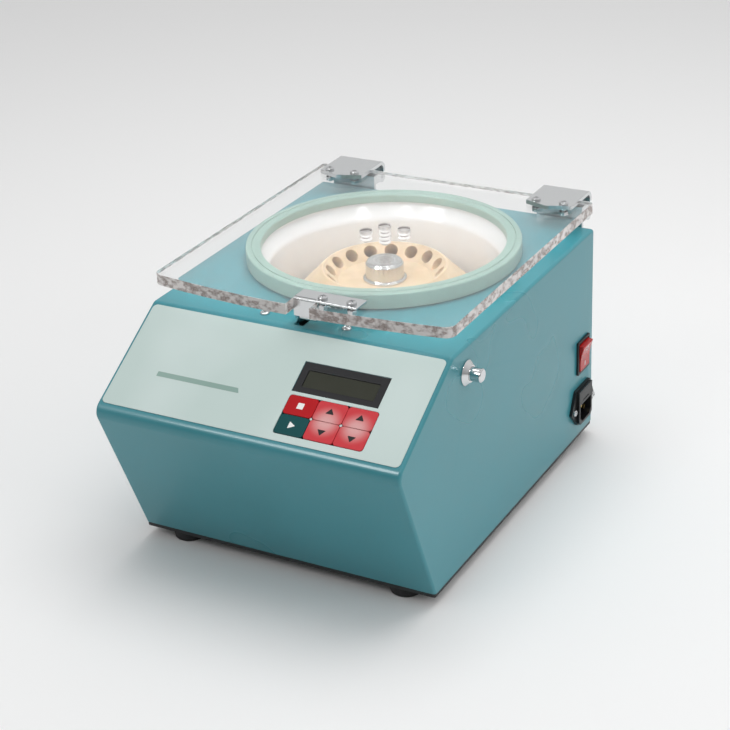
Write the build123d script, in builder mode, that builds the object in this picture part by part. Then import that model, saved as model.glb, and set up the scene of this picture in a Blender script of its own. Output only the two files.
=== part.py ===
from build123d import *
import math
import os

os.makedirs("parts", exist_ok=True)

# Bench microcentrifuge with a clear lid, in millimetres.
# +X is the operator's right, +Y runs to the back, +Z is up.
# The origin is under the middle of the whole machine, on the surface it stands on.
# Lengths called back or front run from the lower front edge of the housing.

# Housing
body_width = 260.0
body_depth = 309.3
deck_height = 179.5
ridge_lead = 52.2
ridge_height = 125.2
deck_start = 38.3
sheet = 1.5
ridge_radius = 10.0
deck_radius = 6.0
rear_radius = 3.0
side_radius = 2.5
lip_width = 12.0

# Rear vent slots
rear_vent_width = 3.0
rear_vent_length = 34.0
rear_vent_pitch = 8.0
rear_vent_count = 9
rear_vent_height = 70.0
rear_vent_side = 62.0

# Base plate and feet
base_thickness = 3.5
base_inset = 0.5
base_corner = 2.0
base_screw_side = 6.5
base_screw_end = 40.0
foot_height = 8.5
foot_top_radius = 14.0
foot_bottom_radius = 12.5
foot_edge_radius = 1.5
foot_side = 32.0
foot_end = 15.0
foot_recess_radius = 6.0
foot_recess_depth = 4.5
base_vent_width = 4.0
base_vent_length = 46.0
base_vent_pitch = 10.0
base_vent_count = 5
base_vent_side = 88.0

# Chamber
chamber_back = 129.6
chamber_depth = 67.5
bowl_rim_radius = 101.8
bowl_rim_rise = 9.5
bowl_neck_rise = 3.5
bowl_wall_radius = 94.0
bowl_shoulder_drop = 7.0
bowl_draft = 2.0
bowl_floor_radius = 24.0
bowl_wall = 1.2
bowl_flange = 6.0
bowl_outlet_radius = 16.0

# Gasket
gasket_outer_radius = 111.4
gasket_inner_radius = 99.1
gasket_lip_rise = 6.1
gasket_groove_radius = 106.3
gasket_groove = 0.8
gasket_edge = 1.0

# Lid
lid_side_inset = 1.2
lid_thickness = 8.9
lid_rise = 13.7
lid_front = 39.9
lid_bow = 10.1
lid_rear_overhang = 0.6
lid_front_corner = 8.0
lid_rear_corner = 3.0
lid_edge = 0.5
vent_hole_radius = 5.1
vent_circle_radius = 17.8
vent_centre_back = 3.3
vent_angles = (60, 120, 180)

# Hinges
hinge_centre = 98.2
hinge_width = 41.0
hinge_plate = 3.5
hinge_front = 30.0
hinge_point = 7.0
hinge_bend = 8.0
hinge_screw_spacing = 24.5
hinge_screw_front = 20.5
pin_stand = 15.7
pin_rise = 6.5
pin_radius = 2.5
knuckle_radius = 6.0
knuckle_width = 18.0
knuckle_gap = 0.5
tongue_start = 9.0
bracket_plate = 3.0
bracket_drop = 23.0
bracket_rise = 4.0
bracket_screw_spacing = 26.0
bracket_screw_drop = 15.0

# Latch strike on the lid
strike_left = -3.3
strike_width = 54.2
strike_depth = 16.7
strike_sheet = 1.5
strike_front = 40.2
strike_tab_width = 19.0
strike_bend = 2.2
strike_foot_inset = 4.8
strike_foot_length = 11.8
strike_foot_rise = 6.3
strike_screw_x = (19.0, 43.5)
strike_screw_back = 6.4
notch_gap = 0.6

# Lid lock under the deck
slot_left = -6.1
slot_width = 8.5
slot_front = 43.0
slot_length = 22.0
slot_lip = 5.0
slot_lip_wall = 1.0
slot_corner = 1.0
button_back = 59.7
button_height = 158.0
button_radius = 5.4
button_reach = 13.5
button_tail = 3.0
button_edge = 0.8
bush_flange_radius = 10.0
bush_nose_radius = 6.6
bush_rim = 1.0
bush_reach = 4.5
bush_thread_radius = 7.5
bush_tail = 8.5
bush_nut_flats = 19.0
bush_nut_height = 3.0
rod_radius = 3.0
rod_tail = -26.0
rod_in_button = 6.0
hook_left = -5.5
hook_plate = 2.2
hook_hub_radius = 7.0
hook_hub_width = 6.0
hook_nose_width = 6.5
hook_nose_height = 2.2
hook_nose_front = 45.0
hook_nose_depth = 7.0
hook_neck_back = 56.0
lock_travel = 4.5
lock_sheet = 1.5
lock_bracket_front = 46.0
lock_bracket_depth = 27.0
lock_bracket_height = 32.0
lock_cheek_x = 20.0
lock_tab_x = 43.0
lock_screw_x = 35.7
lock_screw_back = 51.0

# Control panel
label_side = 3.0
label_start = 9.0
label_height = 93.5
label_thickness = 0.5
label_corner = 4.0
display_x = 56.0
display_up = 65.4
display_width = 71.3
display_height = 26.3
display_rise = 0.2
glass_width = 59.7
glass_height = 14.8
glass_up = 64.6
glass_thickness = 1.0
glass_recess = 0.6
key_width = 24.3
key_height = 16.6
key_gap = 0.35
key_corner = 2.5
key_left_x = 33.4
key_low_up = 23.6
key_proud = 0.4
key_depth = 2.5
key_stem_radius = 2.0
key_travel = 0.5
key_stop_gap = 0.6
board_drop = 9.5
board_thickness = 1.6
board_width = 92.0
board_height = 78.0
board_centre_x = 57.0
board_centre_up = 49.5
board_corner_inset = 4.0
spacer_radius = 3.0
key_switch_size = 6.2
key_switch_height = 3.4
panel_gap = 0.3

# Power switch on the right side
switch_front = 23.8
switch_height = 73.6
switch_frame_width = 25.5
switch_frame_height = 30.5
switch_frame_rise = 2.0
switch_frame_corner = 1.0
switch_body_width = 22.6
switch_body_height = 28.0
switch_body_depth = 20.0
switch_wall = 1.1
switch_pocket_depth = 9.0
rocker_tilt = 8.0
rocker_end_rise = 4.6
rocker_mid_rise = 3.2
rocker_root = 5.5
rocker_side_gap = 0.3
rocker_end_gap = 0.9
rocker_pivot_radius = 1.5
rocker_pivot_reach = 0.8
rocker_edge = 0.6
terminal_width = 6.3
terminal_thickness = 0.8
terminal_length = 8.0

# Mains inlet on the right side
inlet_front = 26.3
inlet_height = 29.0
inlet_ear_half = 25.0
inlet_ear_low = -2.0
inlet_top_half = 15.5
inlet_top = 17.0
inlet_bottom_half = 11.0
inlet_bottom = -17.0
inlet_flange = 2.5
inlet_block_half = 14.0
inlet_block_rise = 5.0
inlet_block_top = 15.8
inlet_block_bottom = -15.8
inlet_block_corner = 3.0
inlet_depth = 24.0
inlet_wall = 1.4
socket_half = 11.8
socket_top = 2.8
socket_bottom = -13.6
socket_corner = 4.0
socket_depth = 17.0
blade_width = 4.0
blade_thickness = 2.0
blade_length = 13.0
blade_side = 7.0
blade_drop = -6.9
blade_earth = 4.0
ear_screw_half = 19.6
ear_screw_height = -1.0
ear_screw_head = 2.8
ear_screw_shank = 1.5
drawer_half = 11.9
drawer_top = 14.2
drawer_bottom = 5.0
drawer_depth = 20.0
drawer_lip = 1.0
drawer_gap = 0.25
drawer_travel = 18.0
fuse_radius = 2.5
fuse_length = 20.0
fuse_pitch = 6.4

# Rotor
rotor_floor_rise = 46.2
rotor_seat_rise = 16.0
dish_radius = 38.2
rim_radius = 50.4
rim_edge = 1.8
skirt_radius = 86.0
skirt_rise = 14.0
skirt_edge = 2.0
web_thickness = 12.2
underside_radius = 66.0
hub_radius = 22.0
hub_bore_radius = 6.05
pocket_count = 16
pocket_radius = 5.5
pocket_circle_radius = 44.3
pocket_depth = 39.0
pocket_tip_radius = 2.0
pocket_tip_length = 9.0
pocket_phase = -1.7
knob_radius = 15.6
knob_height = 16.0
knob_chamfer = 1.4
knob_flange_radius = 17.8
knob_flange = 1.6
knob_thread_depth = 10.0

# Motor
shaft_radius = 6.0
shaft_shoulder_radius = 7.5
shaft_thread_radius = 4.0
shaft_gap = 0.05
motor_radius = 44.0
motor_wall = 3.0
motor_case_height = 62.0
motor_cap_height = 9.0
motor_plate_radius = 66.0
motor_plate_thickness = 3.0
bush_circle_radius = 56.0
motor_bush_radius = 9.0
motor_bush_height = 20.0
motor_bush_waist = 6.5
bearing_radius = 14.0
bearing_width = 8.0
bearing_seat = 2.0
stator_radius = 40.5
stator_bore = 26.0
stator_height = 34.0
armature_gap = 0.8
armature_height = 34.0
motor_screw_circle = 34.0
boot_flange_radius = 19.5
boot_flange = 1.6
boot_wall = 3.5

# Control board on the base plate
control_width = 62.0
control_depth = 92.0
control_left = -86.0
control_back = 64.0
standoff_height = 8.0
standoff_radius = 3.0
heat_sink_width = 14.0
heat_sink_depth = 60.0
heat_sink_height = 26.0
fin_count = 6
fin_depth = 9.0

# Screws and running fits
screw_radius = 2.0
screw_clearance = 0.15
head_radius = 3.9
head_height = 2.4
head_dome = 1.1
nut_flats = 7.0
nut_height = 3.2
seat_gap = 0.3
running_gap = 0.05
press_gap = 0.02

# Datums worked out from the sizes above
floor_z = foot_height + base_thickness
deck_z = floor_z + deck_height
slope = math.atan2(deck_height - ridge_height, deck_start + ridge_lead)
lean = math.atan2(ridge_lead, ridge_height)
ridge_centre = ridge_lead - ridge_radius * (math.cos(lean) + math.sin(slope)) / (1 + math.sin(slope - lean))
nose_reach = ridge_centre + ridge_radius
rear_reach = body_depth + pin_stand + knuckle_radius
front_y = -(rear_reach - nose_reach) / 2
rear_y = front_y + body_depth
mid_x = -button_reach / 2
side_x = mid_x + body_width / 2
ridge_y = front_y - ridge_lead
ridge_z = floor_z + ridge_height
deck_y = front_y + deck_start
chamber_y = rear_y - chamber_back
chamber_z = deck_z - chamber_depth
lid_z = deck_z + lid_rise
lid_top = lid_z + lid_thickness
lid_rear_y = rear_y + lid_rear_overhang
pin_y = rear_y + pin_stand
pin_z = deck_z + pin_rise
button_y = front_y + button_back
button_z = floor_z + button_height

BASE_UP = (Align.CENTER, Align.CENTER, Align.MIN)
TOP_DOWN = (Align.CENTER, Align.CENTER, Align.MAX)

spin_axis = Axis((mid_x, chamber_y, 0), (0, 0, 1))
spin_plane = Plane(origin=(mid_x, chamber_y, 0), x_dir=(1, 0, 0), z_dir=(0, -1, 0))
panel_plane = Plane(
    origin=(mid_x, ridge_y, ridge_z),
    x_dir=(1, 0, 0),
    z_dir=(0, -math.sin(slope), math.cos(slope)),
)
side_plane = Plane(origin=(side_x, 0, 0), x_dir=(0, 1, 0), z_dir=(1, 0, 0))
rear_plane = Plane.XZ.offset(-rear_y)

hinge_sides = {"left": mid_x - hinge_centre, "right": mid_x + hinge_centre}
hinge_screw_y = lid_rear_y - hinge_screw_front
hinge_screws = [
    (x + side * hinge_screw_spacing / 2, hinge_screw_y)
    for x in hinge_sides.values()
    for side in (-1, 1)
]
strike_y = front_y + strike_front
strike_screws = [(mid_x + x, strike_y + strike_screw_back) for x in strike_screw_x]
lock_screw_places = [(mid_x + side * lock_screw_x, front_y + lock_screw_back) for side in (-1, 1)]
foot_places = [
    (mid_x + side * (body_width / 2 - foot_side), y)
    for side in (-1, 1)
    for y in (front_y + foot_end, rear_y - foot_end)
]
base_screw_places = [
    (mid_x + side * (body_width / 2 - base_screw_side), y)
    for side in (-1, 1)
    for y in (front_y + base_screw_end, (front_y + rear_y) / 2, rear_y - base_screw_end)
]
bush_places = [
    (mid_x + bush_circle_radius * math.cos(a), chamber_y + bush_circle_radius * math.sin(a))
    for a in (math.radians(90 + 120 * k) for k in range(3))
]
motor_screw_places = [
    (mid_x + motor_screw_circle * math.cos(a), chamber_y + motor_screw_circle * math.sin(a))
    for a in (math.radians(30 + 120 * k) for k in range(3))
]
control_x = mid_x + control_left
control_y = front_y + control_back
standoff_places = [
    (control_x + u * (control_width / 2 - board_corner_inset), control_y + v * (control_depth / 2 - board_corner_inset))
    for u in (-1, 1)
    for v in (-1, 1)
]
spacer_places = [
    (board_centre_x + u * (board_width / 2 - board_corner_inset),
     board_centre_up + v * (board_height / 2 - board_corner_inset))
    for u in (-1, 1)
    for v in (-1, 1)
]
key_pitch_x = key_width + key_gap
key_pitch_up = key_height + key_gap
key_names = [
    ["start_key", "time_down_key", "speed_down_key"],
    ["stop_key", "time_up_key", "speed_up_key"],
]
key_places = {
    name: (key_left_x + column * key_pitch_x, key_low_up + row * key_pitch_up)
    for row, names in enumerate(key_names)
    for column, name in enumerate(names)
}
keypad_x = key_left_x + key_pitch_x
keypad_up = key_low_up + key_pitch_up / 2
keypad_width = 3 * key_pitch_x - key_gap + 2 * panel_gap
keypad_height = 2 * key_pitch_up - key_gap + 2 * panel_gap
switch_y = rear_y - switch_front
switch_z = floor_z + switch_height
inlet_y = rear_y - inlet_front
inlet_z = floor_z + inlet_height


def pan_screws(plane, places, length, radius=screw_radius, head=head_radius, height=head_height):
    """Pan-head screws seated on a plane, heads along its normal, shanks into it."""
    with BuildPart() as screws:
        with Locations(plane):
            with Locations(*places):
                Cylinder(head, height, align=BASE_UP)
        top_rims = screws.edges().filter_by(GeomType.CIRCLE).filter_by(
            lambda edge: plane.to_local_coords(edge.center()).Z > height / 2)
        fillet(top_rims, head_dome)
        with Locations(plane):
            with Locations(*places):
                Cylinder(radius, length, align=TOP_DOWN)
    return screws.part


def hex_nuts(plane, places, flats=nut_flats, height=nut_height, bore=screw_radius + press_gap):
    """Hexagon nuts with their top faces on a plane."""
    with BuildPart() as nuts:
        with BuildSketch(plane):
            with Locations(*places):
                RegularPolygon(flats / 2, 6, major_radius=False)
                Circle(bore, mode=Mode.SUBTRACT)
        extrude(amount=-height)
    return nuts.part


def housing_profile(inset):
    """Side outline of the housing, moved inwards by inset."""
    with BuildSketch() as profile:
        with BuildLine():
            Polyline(
                (front_y, floor_z),
                (ridge_y, ridge_z),
                (deck_y, deck_z),
                (rear_y, deck_z),
                (rear_y, floor_z),
                close=True,
            )
        make_face()
        fillet(profile.vertices().sort_by_distance((deck_y, deck_z))[0], deck_radius)
        fillet(profile.vertices().sort_by_distance((ridge_y, ridge_z))[0], ridge_radius)
        fillet(profile.vertices().sort_by_distance((rear_y, deck_z))[0], rear_radius)
        if inset > 0:
            offset(amount=-inset)
    return profile.sketch


# Housing: one folded sheet with a return lip at the bottom
with BuildPart() as housing_shell:
    with BuildSketch(Plane.YZ.offset(mid_x - body_width / 2)):
        add(housing_profile(0))
    extrude(amount=body_width)
    side_faces = housing_shell.faces().sort_by(Axis.X)
    side_edges = side_faces[0].edges() + side_faces[-1].edges()
    fillet(side_edges.filter_by(lambda edge: edge.center().Z > floor_z + sheet), side_radius)
    with BuildSketch(Plane.YZ.offset(mid_x - body_width / 2 + sheet)):
        add(housing_profile(sheet))
    extrude(amount=body_width - 2 * sheet, mode=Mode.SUBTRACT)
    with BuildSketch(Plane.XY.offset(floor_z)):
        with Locations((mid_x, (front_y + rear_y) / 2)):
            Rectangle(body_width - 2 * lip_width, body_depth - 2 * lip_width)
        with Locations(*base_screw_places):
            Circle(screw_radius + screw_clearance)
    extrude(amount=2 * sheet, mode=Mode.SUBTRACT)
    slot_x = mid_x + slot_left + slot_width / 2
    slot_y = front_y + slot_front + slot_length / 2
    with BuildSketch(Plane.XY.offset(deck_z - sheet / 2)):
        with Locations((slot_x, slot_y)):
            RectangleRounded(
                slot_width + 2 * slot_lip_wall, slot_length + 2 * slot_lip_wall, slot_corner + slot_lip_wall)
    extrude(amount=sheet / 2 - slot_lip)
    with BuildSketch(Plane.XY.offset(deck_z)):
        with Locations((mid_x, chamber_y)):
            Circle(bowl_rim_radius + bowl_wall + seat_gap)
        with Locations((slot_x, slot_y)):
            RectangleRounded(slot_width, slot_length, slot_corner)
        with Locations(*lock_screw_places):
            Circle(screw_radius + screw_clearance)
    extrude(amount=-slot_lip - sheet, mode=Mode.SUBTRACT)
    with BuildSketch(panel_plane):
        with Locations((display_x, display_up)):
            Rectangle(display_width + 2 * panel_gap, display_height + 2 * panel_gap)
        with Locations((keypad_x, keypad_up)):
            RectangleRounded(keypad_width, keypad_height, key_corner)
    extrude(amount=-2 * sheet, mode=Mode.SUBTRACT)
    with BuildSketch(side_plane):
        with Locations((button_y, button_z)):
            Circle(bush_thread_radius + seat_gap / 2)
        with Locations((switch_y, switch_z)):
            Rectangle(switch_body_width + panel_gap, switch_body_height + panel_gap)
        with Locations((inlet_y, inlet_z + (inlet_block_top + inlet_block_bottom) / 2)):
            Rectangle(2 * inlet_block_half + panel_gap, inlet_block_top - inlet_block_bottom + panel_gap)
        with Locations(*[(inlet_y + side * ear_screw_half, inlet_z + ear_screw_height) for side in (-1, 1)]):
            Circle(ear_screw_shank + screw_clearance)
    extrude(amount=-2 * sheet, mode=Mode.SUBTRACT)
    with BuildSketch(rear_plane):
        with Locations(*[(mid_x + side * rear_vent_side, floor_z + rear_vent_height) for side in (-1, 1)]):
            with GridLocations(rear_vent_pitch, 0, rear_vent_count, 1):
                SlotOverall(rear_vent_length, rear_vent_width, rotation=90)
        for x in hinge_sides.values():
            with Locations((x, pin_z - bracket_screw_drop)):
                with GridLocations(bracket_screw_spacing, 0, 2, 1):
                    Circle(screw_radius + screw_clearance)
    extrude(amount=2 * sheet, mode=Mode.SUBTRACT)
housing_shell.part.label = "housing_shell"
export_step(housing_shell.part, "parts/housing_shell.step")

# Base plate with vent slots under the boards and the motor
with BuildPart() as base_plate:
    with BuildSketch(Plane.XY.offset(foot_height)) as base_outline:
        with Locations((mid_x, (front_y + rear_y) / 2)):
            RectangleRounded(body_width - 2 * base_inset, body_depth - 2 * base_inset, base_corner)
        with Locations(*foot_places, *base_screw_places, *bush_places, *standoff_places):
            Circle(screw_radius + screw_clearance, mode=Mode.SUBTRACT)
        with Locations(*[(mid_x + side * base_vent_side, chamber_y) for side in (-1, 1)]):
            with GridLocations(0, base_vent_pitch, 1, base_vent_count):
                SlotOverall(base_vent_length, base_vent_width, mode=Mode.SUBTRACT)
    extrude(amount=base_thickness)
base_plate.part.label = "base_plate"
export_step(base_plate.part, "parts/base_plate.step")

# Rubber feet, tapered, each with a screw recess from below
with BuildPart() as feet:
    with Locations(*foot_places):
        Cone(foot_bottom_radius, foot_top_radius, foot_height, align=BASE_UP)
    fillet(feet.edges().group_by(Axis.Z)[0], foot_edge_radius)
    with Locations(*foot_places):
        Cylinder(foot_recess_radius, foot_recess_depth, align=BASE_UP, mode=Mode.SUBTRACT)
        Cylinder(screw_radius + screw_clearance, foot_height, align=BASE_UP, mode=Mode.SUBTRACT)
feet.part.label = "feet"
export_step(feet.part, "parts/feet.step")

# Screws that come up from below, through the feet and through the base plate
foot_screw_seat = Plane(origin=(0, 0, foot_recess_depth), x_dir=(1, 0, 0), z_dir=(0, 0, -1))
with BuildPart() as foot_screws:
    add(pan_screws(foot_screw_seat, [(x, -y) for x, y in foot_places], floor_z - foot_recess_depth))
foot_screws.part.label = "foot_screws"
export_step(foot_screws.part, "parts/foot_screws.step")

base_screw_seat = Plane(origin=(0, 0, foot_height), x_dir=(1, 0, 0), z_dir=(0, 0, -1))
with BuildPart() as base_screws:
    add(pan_screws(base_screw_seat, [(x, -y) for x, y in base_screw_places], base_thickness + 3 * sheet))
base_screws.part.label = "base_screws"
export_step(base_screws.part, "parts/base_screws.step")

# Bowl: a spun cup that hangs from the deck by its flange, its rim standing up into the gasket
with BuildPart() as bowl:
    with BuildSketch(spin_plane):
        with BuildLine():
            FilletPolyline(
                (bowl_rim_radius, deck_z + bowl_rim_rise),
                (bowl_rim_radius, deck_z + bowl_neck_rise),
                (bowl_wall_radius, deck_z - bowl_shoulder_drop),
                (bowl_wall_radius - bowl_draft, chamber_z),
                (bowl_outlet_radius, chamber_z),
                radius=[5.0, 8.0, bowl_floor_radius],
            )
            offset(amount=bowl_wall, side=Side.LEFT)
        make_face()
    revolve(axis=spin_axis)
    with BuildSketch(Plane.XY.offset(deck_z)):
        with Locations((mid_x, chamber_y)):
            Circle(bowl_rim_radius + bowl_flange)
            Circle(bowl_rim_radius - bowl_wall, mode=Mode.SUBTRACT)
    extrude(amount=bowl_wall)
bowl.part.label = "bowl"
export_step(bowl.part, "parts/bowl.step")

# Gasket: a ring with a channel from below that is pushed over the bowl's rim
gasket_low = deck_z + bowl_wall
gasket_top = lid_z - seat_gap
channel_inner = bowl_rim_radius - seat_gap
channel_outer = bowl_rim_radius + bowl_wall + seat_gap
channel_top = deck_z + bowl_rim_rise + seat_gap
with BuildPart() as gasket:
    with BuildSketch(spin_plane) as gasket_section:
        with BuildLine():
            Polyline(
                (gasket_outer_radius, gasket_low),
                (gasket_outer_radius, gasket_top),
                (gasket_inner_radius, gasket_top),
                (gasket_inner_radius, deck_z + gasket_lip_rise),
                (channel_inner, deck_z + gasket_lip_rise),
                (channel_inner, channel_top),
                (channel_outer, channel_top),
                (channel_outer, gasket_low),
                close=True,
            )
        make_face()
        fillet(gasket_section.vertices().group_by(Axis.Y)[-1], gasket_edge)
        with Locations((gasket_groove_radius, gasket_top)):
            Rectangle(gasket_groove, 2 * gasket_groove, mode=Mode.SUBTRACT)
    revolve(axis=spin_axis)
gasket.part.label = "gasket"
export_step(gasket.part, "parts/gasket.step")

# Lid: clear plate with a bowed front, a notch for the strike and three vent holes
lid_half = body_width / 2 - lid_side_inset
lid_corner_y = front_y + lid_front
with BuildPart() as lid:
    with BuildSketch(Plane.XY.offset(lid_z)) as lid_outline:
        with BuildLine():
            Polyline(
                (mid_x - lid_half, lid_corner_y),
                (mid_x - lid_half, lid_rear_y),
                (mid_x + lid_half, lid_rear_y),
                (mid_x + lid_half, lid_corner_y),
            )
            ThreePointArc(
                (mid_x + lid_half, lid_corner_y),
                (mid_x, lid_corner_y - lid_bow),
                (mid_x - lid_half, lid_corner_y),
            )
        make_face()
        corners = lid_outline.vertices().group_by(Axis.Y)
        fillet(corners[0], lid_front_corner)
        fillet(lid_outline.vertices().group_by(Axis.Y)[-1], lid_rear_corner)
    extrude(amount=lid_thickness)
    chamfer(lid.edges().group_by(Axis.Z)[-1] + lid.edges().group_by(Axis.Z)[0], lid_edge)
    notch_back = strike_y + strike_sheet + notch_gap
    notch_left = mid_x + strike_left - notch_gap
    with BuildSketch(Plane.XY.offset(lid_z)):
        with BuildLine():
            Polyline(
                (notch_left, lid_corner_y - 2 * lid_bow),
                (notch_left, notch_back),
                (notch_left + strike_tab_width + 2 * notch_gap, notch_back),
                (notch_left + strike_tab_width + 2 * notch_gap, lid_corner_y - 2 * lid_bow),
                close=True,
            )
        make_face()
        with Locations(*hinge_screws, *strike_screws):
            Circle(screw_radius + screw_clearance)
        with Locations((mid_x, chamber_y + vent_centre_back)):
            with Locations(*[
                (vent_circle_radius * math.cos(math.radians(a)), vent_circle_radius * math.sin(math.radians(a)))
                for a in vent_angles
            ]):
                Circle(vent_hole_radius)
    extrude(amount=lid_thickness, mode=Mode.SUBTRACT)
lid.part.label = "lid"
export_step(lid.part, "parts/lid.step")

# Hinge covers: thick plate on the lid, bent down behind it and rolled round the pin
cover_back = pin_y + knuckle_radius
cover_top = lid_top + hinge_plate
cover_front = lid_rear_y - hinge_front
for side_name, hinge_x in hinge_sides.items():
    with BuildPart() as hinge_cover:
        with BuildSketch(Plane.YZ.offset(hinge_x)):
            with BuildLine():
                FilletPolyline(
                    (cover_front, cover_top),
                    (cover_back, cover_top),
                    (cover_back, pin_z + tongue_start),
                    radius=[hinge_bend],
                )
                offset(amount=hinge_plate, side=Side.RIGHT)
            make_face()
        extrude(amount=hinge_width / 2, both=True)
        with BuildSketch(Plane.YZ.offset(hinge_x)):
            with Locations((cover_back - hinge_plate / 2, pin_z)):
                Rectangle(hinge_plate, tongue_start, align=(Align.CENTER, Align.MIN))
            with Locations((pin_y, pin_z)):
                Circle(knuckle_radius)
                Circle(pin_radius + running_gap, mode=Mode.SUBTRACT)
        extrude(amount=knuckle_width / 2, both=True)
        with BuildSketch(Plane.XY.offset(lid_top)):
            for side in (-1, 1):
                with BuildLine():
                    Polyline(
                        (hinge_x, cover_front),
                        (hinge_x + side * hinge_width / 2, cover_front),
                        (hinge_x + side * hinge_width / 2, cover_front + hinge_point),
                        close=True,
                    )
                make_face()
            with Locations(*[(hinge_x + side * hinge_screw_spacing / 2, hinge_screw_y) for side in (-1, 1)]):
                Circle(screw_radius + screw_clearance)
        extrude(amount=hinge_plate, mode=Mode.SUBTRACT)
    hinge_cover.part.label = side_name + "_hinge_cover"
    export_step(hinge_cover.part, "parts/" + side_name + "_hinge_cover.step")

# Hinge brackets: a plate on the rear wall with two ears that hold the pin
ear_inner = knuckle_width / 2 + knuckle_gap
with BuildPart() as hinge_brackets:
    for hinge_x in hinge_sides.values():
        with BuildSketch(rear_plane):
            with Locations((hinge_x, pin_z + bracket_rise)):
                Rectangle(hinge_width, bracket_drop + bracket_rise, align=(Align.CENTER, Align.MAX))
            with Locations((hinge_x, pin_z - bracket_screw_drop)):
                with GridLocations(bracket_screw_spacing, 0, 2, 1):
                    Circle(screw_radius + screw_clearance, mode=Mode.SUBTRACT)
        extrude(amount=-bracket_plate)
        for start in (hinge_x - hinge_width / 2, hinge_x + ear_inner):
            with BuildSketch(Plane.YZ.offset(start)):
                with Locations((rear_y, pin_z)):
                    Rectangle(pin_stand, 2 * bracket_rise, align=(Align.MIN, Align.CENTER))
                with Locations((pin_y, pin_z)):
                    Circle(knuckle_radius)
                    Circle(pin_radius + press_gap, mode=Mode.SUBTRACT)
            extrude(amount=hinge_width / 2 - ear_inner)
hinge_brackets.part.label = "hinge_brackets"
export_step(hinge_brackets.part, "parts/hinge_brackets.step")

with BuildPart() as hinge_pins:
    for hinge_x in hinge_sides.values():
        with BuildSketch(Plane.YZ.offset(hinge_x)):
            with Locations((pin_y, pin_z)):
                Circle(pin_radius)
        extrude(amount=hinge_width / 2, both=True)
hinge_pins.part.label = "hinge_pins"
export_step(hinge_pins.part, "parts/hinge_pins.step")

bracket_seat = Plane(origin=(0, rear_y + bracket_plate, 0), x_dir=(-1, 0, 0), z_dir=(0, 1, 0))
with BuildPart() as bracket_screws:
    places = [
        (-x - side * bracket_screw_spacing / 2, pin_z - bracket_screw_drop)
        for x in hinge_sides.values()
        for side in (-1, 1)
    ]
    add(pan_screws(bracket_seat, places, bracket_plate + 3 * sheet))
bracket_screws.part.label = "bracket_screws"
export_step(bracket_screws.part, "parts/bracket_screws.step")

# Lid screws and the nuts under the lid
nut_seat_z = lid_z
screw_end = nut_height + head_height / 2
with BuildPart() as lid_screws:
    add(pan_screws(Plane.XY.offset(cover_top), hinge_screws, hinge_plate + lid_thickness + screw_end))
    add(pan_screws(
        Plane.XY.offset(lid_top + strike_sheet), strike_screws, strike_sheet + lid_thickness + screw_end))
lid_screws.part.label = "lid_screws"
export_step(lid_screws.part, "parts/lid_screws.step")

with BuildPart() as lid_nuts:
    add(hex_nuts(Plane.XY.offset(nut_seat_z), hinge_screws + strike_screws))
lid_nuts.part.label = "lid_nuts"
export_step(lid_nuts.part, "parts/lid_nuts.step")

# Latch strike: plate on the lid with a tab bent down through the notch and a foot for the hook
strike_x = mid_x + strike_left
foot_top = deck_z + strike_foot_rise + strike_sheet
with BuildPart() as latch_strike:
    with BuildSketch(Plane.YZ.offset(strike_x)):
        with BuildLine():
            FilletPolyline(
                (strike_y + strike_depth, lid_top + strike_sheet),
                (strike_y, lid_top + strike_sheet),
                (strike_y, deck_z + strike_foot_rise),
                (strike_y + strike_foot_length, deck_z + strike_foot_rise),
                radius=[strike_bend, strike_bend],
            )
            offset(amount=strike_sheet, side=Side.LEFT)
        make_face()
    extrude(amount=strike_tab_width)
    with BuildSketch(Plane.XY.offset(deck_z + strike_foot_rise)):
        with Locations((strike_x, strike_y + strike_sheet)):
            Rectangle(strike_foot_inset, strike_foot_length, align=(Align.MIN, Align.MIN))
    extrude(amount=strike_bend, mode=Mode.SUBTRACT)
    with BuildSketch(Plane.XY.offset(lid_top)):
        with Locations((strike_x + strike_tab_width, strike_y)):
            Rectangle(strike_width - strike_tab_width, strike_depth, align=(Align.MIN, Align.MIN))
    extrude(amount=strike_sheet)
    with BuildSketch(Plane.XY.offset(lid_top)):
        with Locations(*strike_screws):
            Circle(screw_radius + screw_clearance)
    extrude(amount=strike_sheet, mode=Mode.SUBTRACT)
latch_strike.part.label = "latch_strike"
export_step(latch_strike.part, "parts/latch_strike.step")

# Lock hook: a hub on the rod, an upright plate through the slot, and a nose that slides over the foot
hook_x = mid_x + hook_left
nose_z = foot_top + seat_gap
hook_front_y = front_y + hook_nose_front
hook_back_y = front_y + hook_neck_back
with BuildPart() as lock_hook:
    with BuildSketch(Plane.YZ.offset(hook_x)):
        with BuildLine():
            Polyline(
                (hook_front_y, nose_z + hook_nose_height),
                (hook_back_y, nose_z + hook_nose_height),
                (button_y + hook_hub_radius, button_z),
                (button_y - hook_hub_radius, button_z),
                (hook_front_y + hook_nose_depth / 2, deck_z - slot_lip),
                (hook_front_y, nose_z),
                close=True,
            )
        make_face()
        with Locations((button_y, button_z)):
            Circle(hook_hub_radius)
    extrude(amount=hook_plate)
    with BuildSketch(Plane.YZ.offset(hook_x)):
        with Locations((button_y, button_z)):
            Circle(hook_hub_radius)
    extrude(amount=hook_hub_width)
    with BuildSketch(Plane.XY.offset(nose_z)):
        with Locations((hook_x, hook_front_y)):
            Rectangle(hook_nose_width, hook_nose_depth, align=(Align.MIN, Align.MIN))
    extrude(amount=hook_nose_height)
    with BuildSketch(Plane.YZ.offset(hook_x)):
        with Locations((button_y, button_z)):
            Circle(rod_radius + press_gap)
    extrude(amount=hook_hub_width, mode=Mode.SUBTRACT)
lock_hook.part.label = "lock_hook"
export_step(lock_hook.part, "parts/lock_hook.step")

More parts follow.
